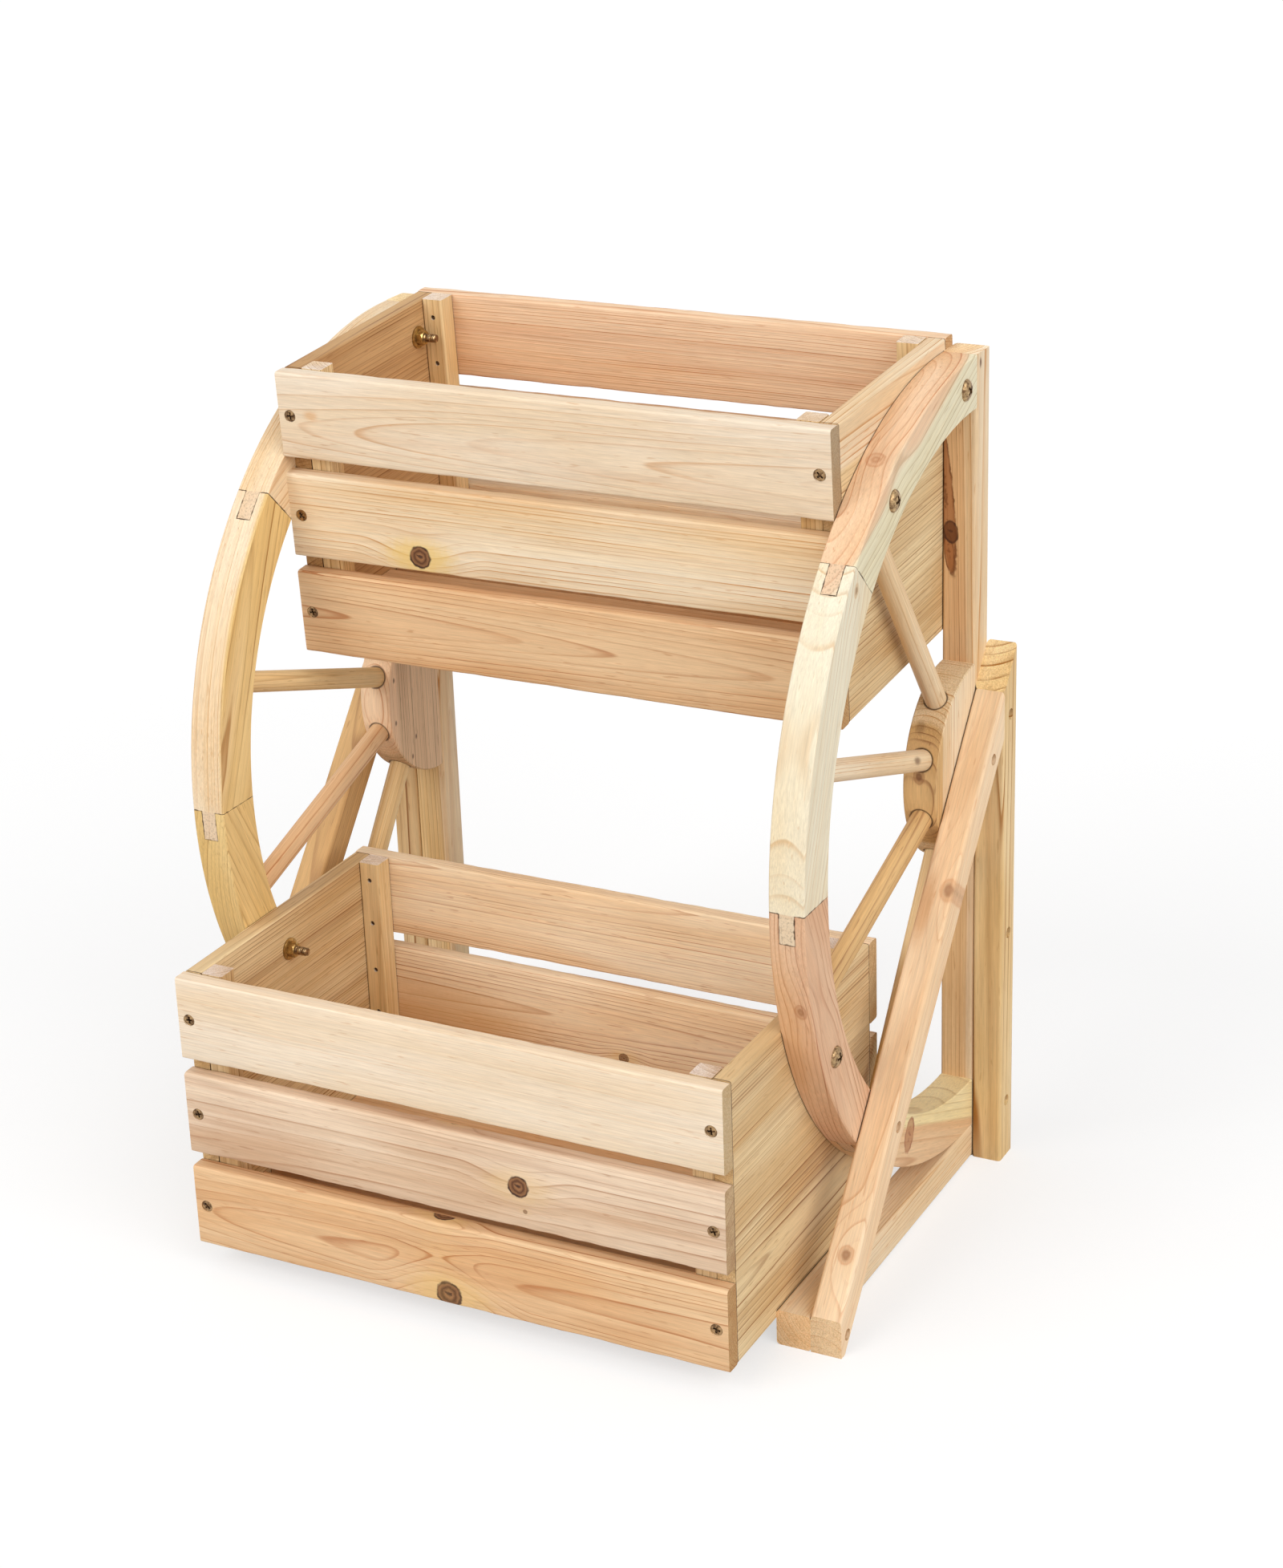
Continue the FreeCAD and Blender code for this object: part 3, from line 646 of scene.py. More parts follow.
class Shaping(Wiring):
    """A geometry node tree with named sizes, and short ways to shape and place meshes in it."""

    def __init__(self, name, sizes, vectors=()):
        tree = bpy.data.node_groups.new(name, "GeometryNodeTree")
        super().__init__(tree)
        inputs = {"Geometry": ["Points"], "Float": sizes, "Vector": vectors, "Material": ["Finish"],
                  "Int": ["Seed"]}
        add_sockets(tree, inputs, {"Geometry": ["Shape"]})
        self.given = self.add("NodeGroupInput").outputs
        self.result = self.add("NodeGroupOutput").inputs

    def __getitem__(self, size):
        return self.given[size]

    def shape(self, kind, inputs=None, **settings):
        """Adds a geometry node and gives its first output."""
        return self.add("GeometryNode" + kind, inputs, **settings).outputs[0]

    def half(self, value):
        return self.times(value, 0.5)

    def minus(self, value):
        return self.times(value, -1.0)

    def triple(self, x, y, z):
        return self.add("ShaderNodeCombineXYZ", {"X": x, "Y": y, "Z": z}).outputs[0]

    def move(self, mesh, place=(0, 0, 0), turn=(0, 0, 0), scale=(1, 1, 1)):
        settings = {"Geometry": mesh, "Translation": place, "Rotation": turn, "Scale": scale}
        return self.shape("Transform", settings)

    def raised(self, mesh, height):
        return self.move(mesh, self.triple(0.0, 0.0, height))

    def rod(self, radius, low, high, sides):
        """A round rod along Z from one height to another."""
        settings = {"Vertices": sides, "Radius": radius, "Depth": self.less(high, low)}
        return self.raised(self.shape("MeshCylinder", settings), self.half(self.plus(high, low)))

    def taper(self, low_radius, high_radius, low, high, sides):
        """A cone frustum along Z from one height to another."""
        settings = {"Vertices": sides, "Radius Bottom": low_radius, "Radius Top": high_radius,
                    "Depth": self.less(high, low)}
        return self.raised(self.shape("MeshCone", settings), low)

    def spike(self, neck, point_share, tip_share, sides):
        """The shank of a screw or nail from its neck down, and its point."""
        shank, length = self.half(self["Shank"]), self.minus(self["Length"])
        point = self.times_plus(self["Shank"], point_share, length)
        tip = self.taper(self.times(shank, tip_share), shank, length, point, sides)
        return self.rod(shank, point, neck, sides), tip

    def join(self, *meshes):
        node = self.add("GeometryNodeJoinGeometry")
        for mesh in meshes:
            self.tree.links.new(mesh, node.inputs["Geometry"])
        return node.outputs["Geometry"]

    def carve(self, operation, mesh, *cutters):
        node = self.add("GeometryNodeMeshBoolean", operation=operation, solver="EXACT")
        kept, tools = node.inputs[0], node.inputs[1]
        self.tree.links.new(mesh, kept if operation == "DIFFERENCE" else tools)
        for cutter in cutters:
            self.tree.links.new(cutter, tools)
        return node.outputs["Mesh"]

    def slotted(self, head):
        """A head with a driver's cross slot sunk below the plane z = 0."""
        depth = self.times(self.given["Slot Depth"], 2.0)
        size = self.triple(self.given["Slot Reach"], self.given["Slot Width"], depth)
        wing = self.shape("MeshCube", {"Size": size})
        return self.carve("DIFFERENCE", head, wing, self.move(wing, turn=(0.0, 0.0, math.pi / 2)))

    def swept(self, path, section, **settings):
        """A section drawn along a path."""
        return self.shape("CurveToMesh", {"Curve": path, "Profile Curve": section, **settings})

    def eased_box(self, width, height, ease, steps):
        """The outline of a box with rounded corners."""
        box = self.shape("CurvePrimitiveQuadrilateral", {"Width": width, "Height": height})
        return self.shape("FilletCurve", {"Curve": box, "Count": steps, "Radius": ease}, mode="POLY")

    def set_out(self, shape):
        """Puts the shape at each point, turned to its aim and spun by chance."""
        aim = self.shape("InputNamedAttribute", {"Name": "aim"}, data_type="FLOAT_VECTOR")
        facing = self.add("FunctionNodeAlignRotationToVector", {"Vector": aim}, axis="Z").outputs["Rotation"]
        chance = self.add("FunctionNodeRandomValue", {2: 0.0, 3: math.pi, "Seed": self.given["Seed"]})
        settings = {"Axis": (0, 0, 1), "Angle": chance.outputs[1]}
        spin = self.add("FunctionNodeAxisAngleToRotation", settings)
        settings = {"Rotation": facing, "Rotate By": spin.outputs["Rotation"]}
        turned = self.add("FunctionNodeRotateRotation", settings, rotation_space="LOCAL").outputs["Rotation"]
        settings = {"Points": self.given["Points"], "Instance": shape, "Rotation": turned}
        return self.shape("InstanceOnPoints", settings)

    def deliver(self, shape):
        """Rounds the shading, keeps edges crisp, makes instances real and gives the finish."""
        real = self.shape("RealizeInstances", {"Geometry": shape})
        smooth = self.shape("SetShadeSmooth", {"Geometry": real}, domain="FACE")
        crisp_bend = math.radians(32)
        sharp = self.math("GREATER_THAN", self.shape("InputMeshEdgeAngle"), crisp_bend)
        settings = {"Geometry": smooth, "Selection": sharp, "Shade Smooth": False}
        crisp = self.shape("SetShadeSmooth", settings, domain="EDGE")
        finished = self.shape("SetMaterial", {"Geometry": crisp, "Material": self.given["Finish"]})
        self.feed(self.result["Shape"], finished)
        return self.tree


def cross_head_screw():
    """A countersunk screw with a cross slot; the top of its head is at z = 0."""
    s = Shaping("cross_head_screw", ["Head", "Shank", "Length", "Slot Width", "Slot Reach", "Slot Depth"])
    head, shank = s.half(s["Head"]), s.half(s["Shank"])
    neck = s.less(shank, head)
    cone = s.slotted(s.taper(shank, head, neck, 0.0, sides=28))
    return s.deliver(s.set_out(s.join(cone, *s.spike(neck, point_share=1.4, tip_share=0.08, sides=14))))


def dome_head_bolt():
    """A bolt with a low domed head, a cross slot and a threaded end; the top of its head is at z = 0."""
    s = Shaping("dome_head_bolt", ["Head", "Head Height", "Shank", "Length", "Thread Length", "Thread Pitch",
                                   "Slot Width", "Slot Reach", "Slot Depth"])
    head, shank, height = s.half(s["Head"]), s.half(s["Shank"]), s["Head Height"]
    length, thread, pitch = s.minus(s["Length"]), s["Thread Length"], s["Thread Pitch"]
    ball = s.shape("MeshUVSphere", {"Segments": 40, "Rings": 20, "Radius": head})
    squash = s.triple(1.0, 1.0, s.math("DIVIDE", height, head))
    ball = s.move(ball, s.triple(0.0, 0.0, s.minus(height)), scale=squash)
    room = s.rod(s["Head"], s.minus(height), height, sides=8)
    dome = s.slotted(s.carve("INTERSECT", ball, room))
    start = s.plus(length, thread)
    rod = s.rod(shank, start, s.minus(height), sides=20)
    core_share, ridge_share, thread_share, run_out = 0.87, 0.86, 0.94, 0.03
    core = s.rod(s.times(shank, core_share), length, start, sides=20)
    climb = s.times(thread, thread_share)
    ridge_radius = s.times(shank, ridge_share)
    settings = {"Resolution": 16, "Rotations": s.math("DIVIDE", climb, pitch), "Start Radius": ridge_radius,
                "End Radius": ridge_radius, "Height": climb}
    spiral = s.shape("CurveSpiral", settings)
    tooth = s.shape("CurvePrimitiveCircle", {"Resolution": 4, "Radius": s.half(pitch)})
    ridge = s.swept(spiral, tooth, **{"Fill Caps": True})
    ridge = s.raised(ridge, s.times_plus(thread, run_out, length))
    return s.deliver(s.set_out(s.join(dome, rod, core, ridge)))


def flat_washer():
    """A washer with eased edges, lying on z = 0."""
    s = Shaping("flat_washer", ["Outside", "Bore", "Thickness", "Ease"])
    outside, bore, thickness = s.half(s["Outside"]), s.half(s["Bore"]), s["Thickness"]
    path = s.shape("CurvePrimitiveCircle", {"Resolution": 36, "Radius": s.half(s.plus(outside, bore))})
    section = s.eased_box(s.less(outside, bore), thickness, s["Ease"], steps=2)
    return s.deliver(s.set_out(s.raised(s.swept(path, section), s.half(thickness))))


def hexagon_nut():
    """A hexagon nut whose outer corners are turned off, lying on z = 0."""
    s = Shaping("hexagon_nut", ["Flats", "Height", "Bore"])
    flats, height = s["Flats"], s["Height"]
    corner = s.math("DIVIDE", flats, math.sqrt(3))
    foot_share, top_share = 1.5, 0.47
    prism = s.rod(corner, 0.0, height, sides=6)
    turned = s.taper(s.times(corner, foot_share), s.times(flats, top_share), 0.0, height, sides=36)
    hole = s.rod(s.half(s["Bore"]), s.minus(height), s.times(height, 2.0), sides=20)
    return s.deliver(s.set_out(s.carve("DIFFERENCE", s.carve("INTERSECT", prism, turned), hole)))


def wire_nail():
    """A small nail; the top of its head is at z = 0."""
    s = Shaping("wire_nail", ["Head", "Head Height", "Shank", "Length"])
    neck = s.minus(s["Head Height"])
    under_share = 0.42
    head = s.taper(s.times(s["Head"], under_share), s.half(s["Head"]), neck, 0.0, sides=12)
    return s.deliver(s.set_out(s.join(head, *s.spike(neck, point_share=1.3, tip_share=0.1, sides=8))))


def worn_slat():
    """A planed slat with eased, slightly chewed edges and a countersink at each of its screws."""
    sizes = ["Length", "Height", "Thickness", "Edge Round", "Wear", "Sink Head", "Sink Shank", "Lean"]
    s = Shaping("worn_slat", sizes, ["Middle"])
    thickness, height, edge_round = s["Thickness"], s["Height"], s["Edge Round"]
    far_end = s.half(s["Length"])
    ends = {"Start": s.triple(s.minus(far_end), 0.0, 0.0), "End": s.triple(far_end, 0.0, 0.0)}
    line = s.shape("ResampleCurve", {"Curve": s.shape("CurvePrimitiveLine", ends), "Count": 110})
    section = s.eased_box(thickness, height, edge_round, steps=4)
    section = s.shape("SubdivideCurve", {"Curve": section, "Cuts": 3})
    bar = s.swept(line, section, **{"Fill Caps": True})
    x, y, z = s.add("ShaderNodeSeparateXYZ", {"Vector": s.shape("InputPosition")}).outputs
    into_y = s.less(s.half(thickness), s.size(y))
    into_z = s.less(s.half(height), s.size(z))
    wear_reach, face_wear, face_drop = 2.2, 0.25, 0.35
    reach = s.times(edge_round, wear_reach)
    near_edge = s.times(s.fade(into_z, 0.0, reach, 1.0, 0.0), s.fade(into_y, 0.0, reach, 1.0, face_wear))
    side_y, side_z = s.math("SIGN", y), s.math("SIGN", z)
    seed_step = 7.31
    settings = {"Vector": s.vector("MULTIPLY", s.triple(x, side_y, side_z), (34.0, 5.0, 5.0)),
                "W": s.times(s["Seed"], seed_step), "Scale": 1.0, "Detail": 3.0, "Roughness": 0.55}
    chew = s.add("ShaderNodeTexNoise", settings, noise_dimensions="4D").outputs["Fac"]
    depth = s.times(s.times(s.fade(chew, 0.38, 0.8), near_edge), s["Wear"])
    inward = s.triple(0.0, s.minus(s.times(side_y, face_drop)), s.minus(side_z))
    bar = s.shape("SetPosition", {"Geometry": bar, "Offset": s.scaled(inward, depth)})
    bar = s.move(bar, s["Middle"], s.triple(s["Lean"], 0.0, 0.0))
    head, shank = s.half(s["Sink Head"]), s.half(s["Sink Shank"])
    clear = 0.002
    cone = s.taper(shank, head, s.less(shank, head), 0.0, sides=28)
    sink = s.carve("UNION", cone, s.rod(head, 0.0, clear, sides=28))
    sinks = s.shape("RealizeInstances", {"Geometry": s.set_out(sink)})
    return s.deliver(s.carve("DIFFERENCE", bar, sinks))


def made(name, tree, places, finish, sizes, nodes, seed=5):
    """Runs a tree on its points, keeps the result as a plain mesh and lets it stand for CAD pieces."""
    points = bpy.data.meshes.new(name + "_points")
    points.from_pydata([point for point, aim in places], [], [])
    aims = points.attributes.new("aim", "FLOAT_VECTOR", "POINT")
    aims.data.foreach_set("vector", [share for point, aim in places for share in aim])
    piece = bpy.data.objects.new(name, points)
    bpy.context.scene.collection.objects.link(piece)
    maker = piece.modifiers.new("maker", "NODES")
    maker.node_group = tree
    given = {**sizes, "Finish": finish, "Seed": seed}
    for socket in tree.interface.items_tree:
        if socket.in_out == "INPUT" and socket.name in given:
            maker[socket.identifier] = given[socket.name]
    graph = bpy.context.evaluated_depsgraph_get()
    whole = bpy.data.meshes.new_from_object(piece.evaluated_get(graph))
    whole.name = name
    piece.modifiers.remove(maker)
    piece.data = whole
    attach(piece, "root")
    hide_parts(*nodes)


def fit_fasteners():
    """All screws, bolts, washers, nuts and nails, at the places where the CAD model has them."""
    screw = cross_head_screw()
    for name in ("slat_screws", "frame_screws"):
        places, length = driven_places(name)
        sizes = {"Head": screw_head, "Shank": screw_shank, "Length": length, **screw_slot}
        made("cross_head_" + name, screw, places, yellow_zinc, sizes, [name])
    places, length = driven_places("bolts")
    sizes = {"Head": bolt_head, "Head Height": bolt_head_height, "Shank": bolt_shank, "Length": length,
             **bolt_thread, **bolt_slot}
    made("dome_head_bolts", dome_head_bolt(), places, bright_zinc, sizes, ["bolts"])
    places = seated_places("washers")
    sizes = {"Outside": washer_outside, "Bore": washer_bore, "Thickness": washer_thickness,
             "Ease": washer_ease}
    made("flat_washers", flat_washer(), places, brassy_zinc, sizes, ["washers"])
    sizes = {"Flats": nut_flats, "Height": nut_height, "Bore": nut_bore}
    made("hexagon_nuts", hexagon_nut(), seated_places("nuts"), brassy_zinc, sizes, ["nuts"])
    places, length = driven_places("cleat_nails")
    sizes = {"Head": nail_head, "Head Height": nail_head_height, "Shank": nail_shank, "Length": length}
    made("wire_nails", wire_nail(), places, dull_steel, sizes, ["cleat_nails"])


# Directions of grain and width
ALONG_LEANING = Vector((0, math.cos(upper_lean), math.sin(upper_lean)))
UP_LEANING = Vector((0, -math.sin(upper_lean), math.cos(upper_lean)))
UPRIGHT = (UP, ACROSS)
LEVEL = (ALONG, UP)
SLATS = {"upper": (ACROSS, UP_LEANING), "lower": (ACROSS, UP)}
SIDES = {"upper": (ALONG_LEANING, UP_LEANING), "lower": LEVEL}
CLEATS = {"upper": (UP_LEANING, ACROSS), "lower": UPRIGHT}
FLOORS = {"upper": (ACROSS, ALONG_LEANING), "lower": (ACROSS, ALONG)}
LEANS = {"upper": upper_lean, "lower": 0.0}

WORN_SLAT = worn_slat()
slat_screw_places = driven_places("slat_screws")[0]


def slat(name, tone, pith, wear=light_wear, end_shade=slat_end, **looks):
    """One slat of a box, front or back, worn and finished in pine, in place of its CAD node."""
    low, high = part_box(name)
    middle = middle_of(name)
    tier = name.split("_")[0]
    axes = SLATS[tier]
    finish = pine("pine_" + name, tone, middle, axes, pith, end_shade=end_shade, **looks)
    own_screws = []
    for point, aim in slat_screw_places:
        away = point - middle
        if abs(away.dot(axes[1])) < slat_height / 2 and abs(away.dot(aim)) < slat_thickness:
            own_screws.append((point, aim))
    sizes = {"Length": high.x - low.x, "Height": slat_height, "Thickness": slat_thickness,
             "Edge Round": slat_round, "Wear": wear, "Sink Head": sink_head, "Sink Shank": sink_shank,
             "Middle": middle, "Lean": LEANS[tier]}
    seed = dice.randint(1, 99)
    made("worn_" + name, WORN_SLAT, own_screws, finish, sizes, [name], seed)


# Front slats, which the photograph shows best
front_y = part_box("lower_front_slat_2")[0].y
slat("upper_front_slat_1", "cream", (-6, -24), ring=2.2, tilt=(0.2, 1.5), strength=0.7, streaks=0.2,
     end_shade=weathered_end, knots=[stain(-0.1784, -0.0183, 0.5667, 4.0, ALONG, ORANGE, 0.45, 1.6)])
slat("upper_front_slat_2", "blond", (-44, -22), ring=2.4, tilt=(0.5, 0.6), strength=1.3, streaks=0.25,
     knots=[knot(-0.1027, -0.0123, 0.4744, 8.0, halo=0.7)])
slat("upper_front_slat_3", "honey", (0, -15), ring=2.2, tilt=(0.0, -1.25), strength=1.1, wave=0.0015,
     knots=[knot(0.0285, 0.0162, 0.454, 5.0, UP, length=1.3),
            knot(0.0951, 0.0134, 0.454, 5.0, UP, length=1.3)])
slat("lower_front_slat_1", "cream", (60, -20), ring=2.2, tilt=(0.3, 0.5), strength=0.45, streaks=0.06)
slat("lower_front_slat_2", "fawn", (-40, -34), ring=3.4, tilt=(0.6, 0.9), strength=0.9, streaks=0.35,
     wear=heavy_wear,
     knots=[knot(0.0544, front_y, 0.1212, 7.6, halo=0.2),
            knot(0.0588, front_y, 0.1038, 1.6, dark=0.7, halo=0.1),
            knot(0.0019, -0.1792, 0.151, 4.5, UP, length=1.3),
            stain(-0.155, front_y, 0.108, 34.0, shade=BROWN_STREAK, strength=0.2, length=2.0)])
slat("lower_front_slat_3", "honey", (-4, -24), ring=2.2, tilt=(0.3, 1.2), strength=1.15, streaks=0.25,
     knots=[knot(-0.0034, front_y, 0.0263, 9.6), knot(-0.0095, -0.1832, 0.0795, 6.0, UP, length=1.3)])

# Back slats, whose inner faces show above and between the front ones
slat("upper_back_slat_1", "peach", (-60, 20), ring=1.7, tilt=(0.3, 0.4), strength=1.7, streaks=0.3)
slat("upper_back_slat_2", "honey", (-12, 28), ring=2.2, tilt=(0.4, -1.2), strength=1.1)
slat("upper_back_slat_3", "blond", (24, 34), ring=2.4, tilt=(-0.5, 1.0), strength=1.1)
slat("lower_back_slat_1", "almond", (30, 30), ring=2.0, tilt=(0.4, 0.8), strength=1.1, streaks=0.1)
slat("lower_back_slat_2", "almond", (0, 16), ring=2.8, tilt=(0.0, 1.4), strength=1.4, streaks=0.1, wave=0.002,
     # Partly heartwood colour, partly painted shade: the left half of the slat is darker and oranger
     knots=[stain(-0.135, 0.035, 0.103, 30.0, shade=HEARTWOOD_AND_SHADE, strength=0.5, length=3.0),
            knot(0.0123, 0.035, 0.0969, 4.0, dark=0.8)])
slat("lower_back_slat_3", "peach", (-20, 30), ring=2.2, tilt=(0.3, -1.2), strength=0.9)

# Side boards, cleats and floors; each side board has its tone, pith and sapwood
BOX_SIDES = {
    "upper_left": ("russet", (-100, 40), None),
    "upper_right": ("blond", (110, -45), ("tan", 66)),
    "lower_left": ("tan", (-110, 50), None),
    "lower_right": ("tan", (-48, -24), None),
}
for tier in ("upper", "lower"):
    for side in ("left", "right"):
        tone, pith, sapwood = BOX_SIDES[f"{tier}_{side}"]
        board(f"{tier}_{side}_side", tone, SIDES[tier], pith, ring=dice.uniform(2.0, 2.6),
              tilt=(dice.uniform(-1, 1), dice.uniform(-1.2, 1.2)), strength=1.7, streaks=0.3,
              sapwood=sapwood, butted_length=side_length[tier])
        for end in ("front", "back"):
            board(f"{tier}_{end}_{side}_cleat", dice.choice(("tan", "straw")), CLEATS[tier],
                  (dice.uniform(-30, 30), dice.uniform(20, 40)), ring=2.0, strength=1.2, streaks=0.25,
                  end_shade=cleat_end)
    board(f"{tier}_floor_battens", "tan", SIDES[tier], (20, 30), strength=0.8)
    board(f"{tier}_floor_slats", "honey", FLOORS[tier], (40, 30), tilt=(0.0, 1.0), strength=0.9)

# Rims: tone, pith, sapwood, ring width and strength of the rings of each segment, from the top
RIMS = {
    "right": [("rose", (34, -12), ("sage", 28), 4.0, 1.0), ("ivory", (-30, -3), None, 4.8, 0.8),
              ("copper", (20, 26), None, 3.6, 1.3), ("honey", (30, 2), ("wheat", 26), 5.5, 0.6)],
    "left": [("blond", (22, 60), None, 2.2, 1.2), ("blond", (26, -80), ("khaki", 91), 1.9, 1.2),
             ("khaki", (-20, -80), None, 2.0, 1.1), ("honey", (16, 34), None, 2.4, 1.0)],
}
SPOKES = {"right": ("blond", "blond", "umber", "straw"), "left": ("straw", "straw", "honey", "straw")}
FRAME_TONES = {
    "right": {"hub": "umber", "hub_side": "blond", "post": "amber", "base_rail": "blond",
              "rear_leg": "straw", "brace": "apricot"},
    "left": {"hub": "peach", "hub_side": "driftwood", "post": "straw", "base_rail": "honey",
             "rear_leg": "tan", "brace": "umber"},
}

# Knots and stains of the side frames, a painted shadow of the brace on the right post, and the ways they run
brace_low, brace_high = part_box("right_brace")
SLOPE = Vector((0, brace_high.y - brace_low.y, brace_high.z - brace_low.z)).normalized()
BRACE_FRONT = SLOPE.cross(ACROSS)
OUT_AND_UP = Vector((0, -0.48, 0.877))
OUT_AND_DOWN = Vector((0, -0.924, -0.383))
HUB_FRONT = Vector((0, -0.81, 0.59))
SPOKE_FRONT = Vector((0.44, -0.8, 0.4))
SPLIT = Vector((0, -0.35, -0.94)).normalized()
STREAK = Vector((-0.11, 0, 1)).normalized()
MARKS = {
    "right_rim_segment_1": [knot(0.2138, 0.0265, 0.5648, 7.0, OUT_AND_UP, dark=0.08, halo=0.0)],
    "right_rim_segment_2": [knot(0.2275, -0.038, 0.5, 3.6, ACROSS, dark=0.45, length=1.4, halo=0.0)],
    "right_rim_segment_3": [knot(0.2205, -0.114, 0.2424, 4.6, OUT_AND_DOWN, dark=0.3, length=1.4, halo=0.0),
                            stain(0.2045, -0.108, 0.226, 20.0, OUT_AND_DOWN, ORANGE, 0.4, 4.0)],
    "right_rim_segment_4": [stain(0.228, 0.046, 0.0765, 8.0, ACROSS, BROWN_STREAK, 0.7, 1.6, RED_HEART,
                                  SPLIT)],
    "right_spoke_2": [stain(0.2203, 0.078, 0.342, 3.0, SPOKE_FRONT, RESIN, 0.7)],
    "right_brace": [knot(0.2466, 0.0706, 0.255, 6.5, BRACE_FRONT, dark=0.4, length=1.4, halo=0.0),
                    knot(0.2414, -0.0945, 0.0608, 6.0, BRACE_FRONT, dark=0.4, length=1.2, halo=0.0),
                    stain(0.2325, 0.061, 0.2436, 6.5, BRACE_FRONT, CARAMEL, 0.5, 4.5)],
    "right_post": [stain(0.2048, 0.1642, 0.508, 6.2, ALONG, BROWN_STREAK, 0.85, 10.0, PITCH, STREAK),
                   stain(0.2086, 0.1642, 0.461, 3.6, ALONG, BROWN_STREAK, 0.85, 4.0, PITCH, STREAK),
                   stain(0.2098, 0.1642, 0.4755, 5.4, ALONG, PITCH, 0.9, 1.5, BARK, STREAK),
                   stain(0.228, 0.1705, 0.593, 2.0, ACROSS, RESIN, 0.9, 2.0),
                   # Painted shadow: the low front of the post is darkened where the brace shades it
                   stain(0.2175, 0.1642, 0.17, 30.0, ALONG, PAINTED_BRACE_SHADOW, 0.4, 4.0)],
    "left_hub": [stain(-0.2035, y, z, 1.5, ACROSS, RESIN, 0.8, 1.6)
                 for y, z in ((0.1028, 0.3317), (0.1022, 0.2984), (0.1288, 0.2785), (0.1225, 0.2647))],
    "right_hub": [knot(0.215, 0.0937, 0.3231, 4.5, ALONG, dark=0.45, length=1.3, halo=0.0),
                  stain(0.211, 0.1076, 0.354, 4.0, HUB_FRONT, RESIN, 0.4, 1.6)],
}


def frame_board(side, part, tone, axes, pith, **looks):
    """Finishes a piece of a side frame in pine, with its knots and stains."""
    name = f"{side}_{part}"
    board(name, tone, axes, pith, knots=MARKS.get(name, ()), **looks)


def round_hub(angle):
    """The directions along the rim and outward from the hub, at an angle above straight ahead."""
    return Vector((0, math.sin(angle), math.cos(angle))), Vector((0, -math.cos(angle), math.sin(angle)))


for side in ("left", "right"):
    spokes = []
    for index, (tone, pith, sapwood, ring, strength) in enumerate(RIMS[side]):
        axes = round_hub(first_segment_angle - segment_angle * index)
        frame_board(side, f"rim_segment_{index + 1}", tone, axes, pith, ring=ring,
                    tilt=(dice.uniform(-1, 1), dice.uniform(-1.5, 1.5)), strength=strength, joints=True,
                    sapwood=sapwood)
        square, radial = round_hub(first_spoke_angle - spoke_spacing * index)
        spokes.append(radial)
        frame_board(side, f"spoke_{index + 1}", SPOKES[side][index], (radial, square),
                    (dice.uniform(-30, 30), dice.uniform(-40, 40)), ring=2.0, strength=1.1, streaks=0.25)
    tones = FRAME_TONES[side]
    frame_board(side, "hub", tones["hub"], UPRIGHT, (0, -50), ring=2.6, strength=1.2,
                sapwood=(tones["hub_side"], 30), sockets=spokes)
    frame_board(side, "post", tones["post"], UPRIGHT, (-30, 6), ring=2.4, tilt=(0.4, 0.5), strength=1.2,
                streaks=0.25, sapwood=("blond", 41), end_shade=post_end, reach=hole_reach)
    frame_board(side, "base_rail", tones["base_rail"], LEVEL, (dice.uniform(-20, 20), 24), ring=2.4,
                tilt=(0.6, 0.8), strength=1.1, end_shade=rail_end)
    frame_board(side, "rear_leg", tones["rear_leg"], UPRIGHT, (dice.uniform(-30, 30), 60), ring=5.0,
                tilt=(0.3, 0.6), strength=1.8, streaks=0.45, end_shade=leg_end, reach=hole_reach)
    frame_board(side, "brace", tones["brace"], (SLOPE, ACROSS), (dice.uniform(-30, 30), 30), ring=2.8,
                tilt=(0.3, 0.5), strength=0.7, wave=0.0018, reach=hole_reach)

fit_fasteners()


# Floor, light and camera

def seen_directly(w):
    """1 for what the camera sees straight on or in a reflection, and 0 for light on its way."""
    path = w.add("ShaderNodeLightPath").outputs
    mirrored = w.math("MAXIMUM", path["Is Glossy Ray"], path["Is Transmission Ray"])
    return w.math("MAXIMUM", path["Is Camera Ray"], mirrored)


def pale_floor():
    """A wide white floor that keeps the shadow under the cart."""
    mesh = bpy.data.meshes.new("studio_floor")
    reach = 30.0
    corners = [(-reach, -reach, 0), (reach, -reach, 0), (reach, reach, 0), (-reach, reach, 0)]
    mesh.from_pydata(corners, [], [(0, 1, 2, 3)])
    floor = bpy.data.objects.new("studio_floor", mesh)
    bpy.context.scene.collection.objects.link(floor)
    material, w, shader = new_material("white_sweep")
    seen = seen_directly(w)
    plain, bright, lift = 0.55, 0.42, 0.6
    w.feed(shader["Base Color"], w.mix(seen, (plain, plain, plain, 1.0), (bright, bright, bright, 1.0)))
    shader["Emission Color"].default_value = WHITE
    w.feed(shader["Emission Strength"], w.times(seen, lift))
    shader["Roughness"].default_value = 0.9
    shader["Specular IOR Level"].default_value = 0.0
    mesh.materials.append(material)


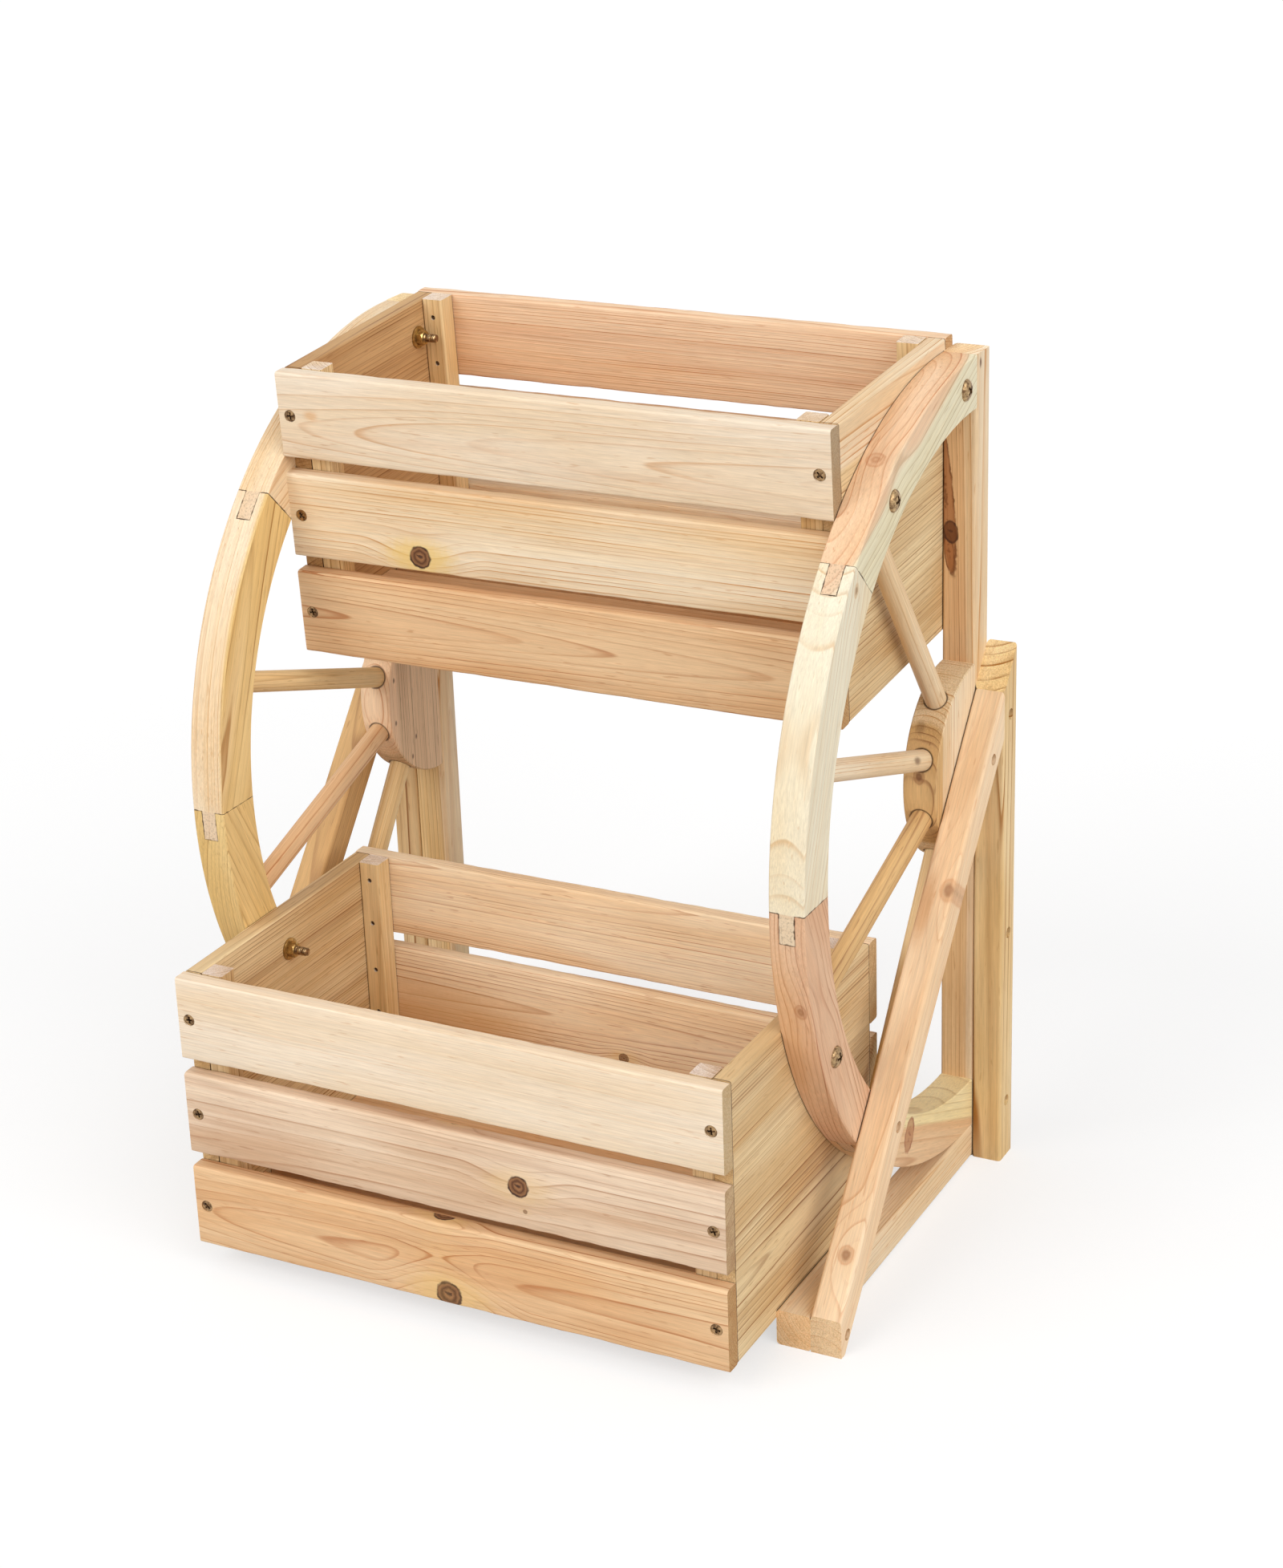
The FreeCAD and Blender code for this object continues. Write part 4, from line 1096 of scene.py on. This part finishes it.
# Strength of each lamp, and its azimuth, elevation and spread in degrees
LAMPS = {"key": (1.3, -28, 36, 40), "fill": (1.6, 62, 30, 55)}


def studio_light():
    """A bright room, a broad lamp from the front left and another from the right."""
    world = bpy.data.worlds.new("studio")
    world.use_nodes = True
    bpy.context.scene.world = world
    w = Wiring(world.node_tree)
    room = world.node_tree.nodes["Background"].inputs
    room["Color"].default_value = WHITE
    room_level = 0.5
    w.feed(room["Strength"], w.fade(seen_directly(w), 0.0, 1.0, room_level, 1.0))
    for name, (strength, *angles) in LAMPS.items():
        azimuth, elevation, spread = (math.radians(angle) for angle in angles)
        lamp = bpy.data.lights.new(name, "SUN")
        lamp.energy = strength
        lamp.angle = spread
        holder = bpy.data.objects.new(name, lamp)
        level = math.cos(elevation)
        towards = Vector((math.sin(azimuth) * level, -math.cos(azimuth) * level, math.sin(elevation)))
        holder.rotation_euler = towards.to_track_quat("Z", "Y").to_euler()
        bpy.context.scene.collection.objects.link(holder)


def photo_camera():
    """The camera that was fitted to the photograph, for a picture of 1600 by 1955 pixels."""
    picture_width = 1600
    focal_pixels = 3936.7
    place = (0.968268, -1.740294, 1.133603)
    azimuth, elevation, roll = math.radians(27.742), math.radians(22.254), math.radians(-2.054)
    lens = bpy.data.cameras.new("photo_camera")
    lens.sensor_fit = "HORIZONTAL"
    lens.sensor_width = 36.0
    lens.lens = focal_pixels * lens.sensor_width / picture_width
    lens.clip_end = 100.0
    camera = bpy.data.objects.new("photo_camera", lens)
    forward = Vector((-math.sin(azimuth) * math.cos(elevation), math.cos(azimuth) * math.cos(elevation),
                      -math.sin(elevation)))
    level = forward.cross(UP).normalized()
    rise = level.cross(forward)
    right = level * math.cos(roll) + rise * math.sin(roll)
    up = rise * math.cos(roll) - level * math.sin(roll)
    turn = Matrix((right, up, -forward)).transposed().to_4x4()
    camera.matrix_world = Matrix.Translation(place) @ turn
    bpy.context.scene.collection.objects.link(camera)
    bpy.context.scene.camera = camera


pale_floor()
studio_light()
photo_camera()
bpy.context.scene.view_settings.view_transform = "Standard"
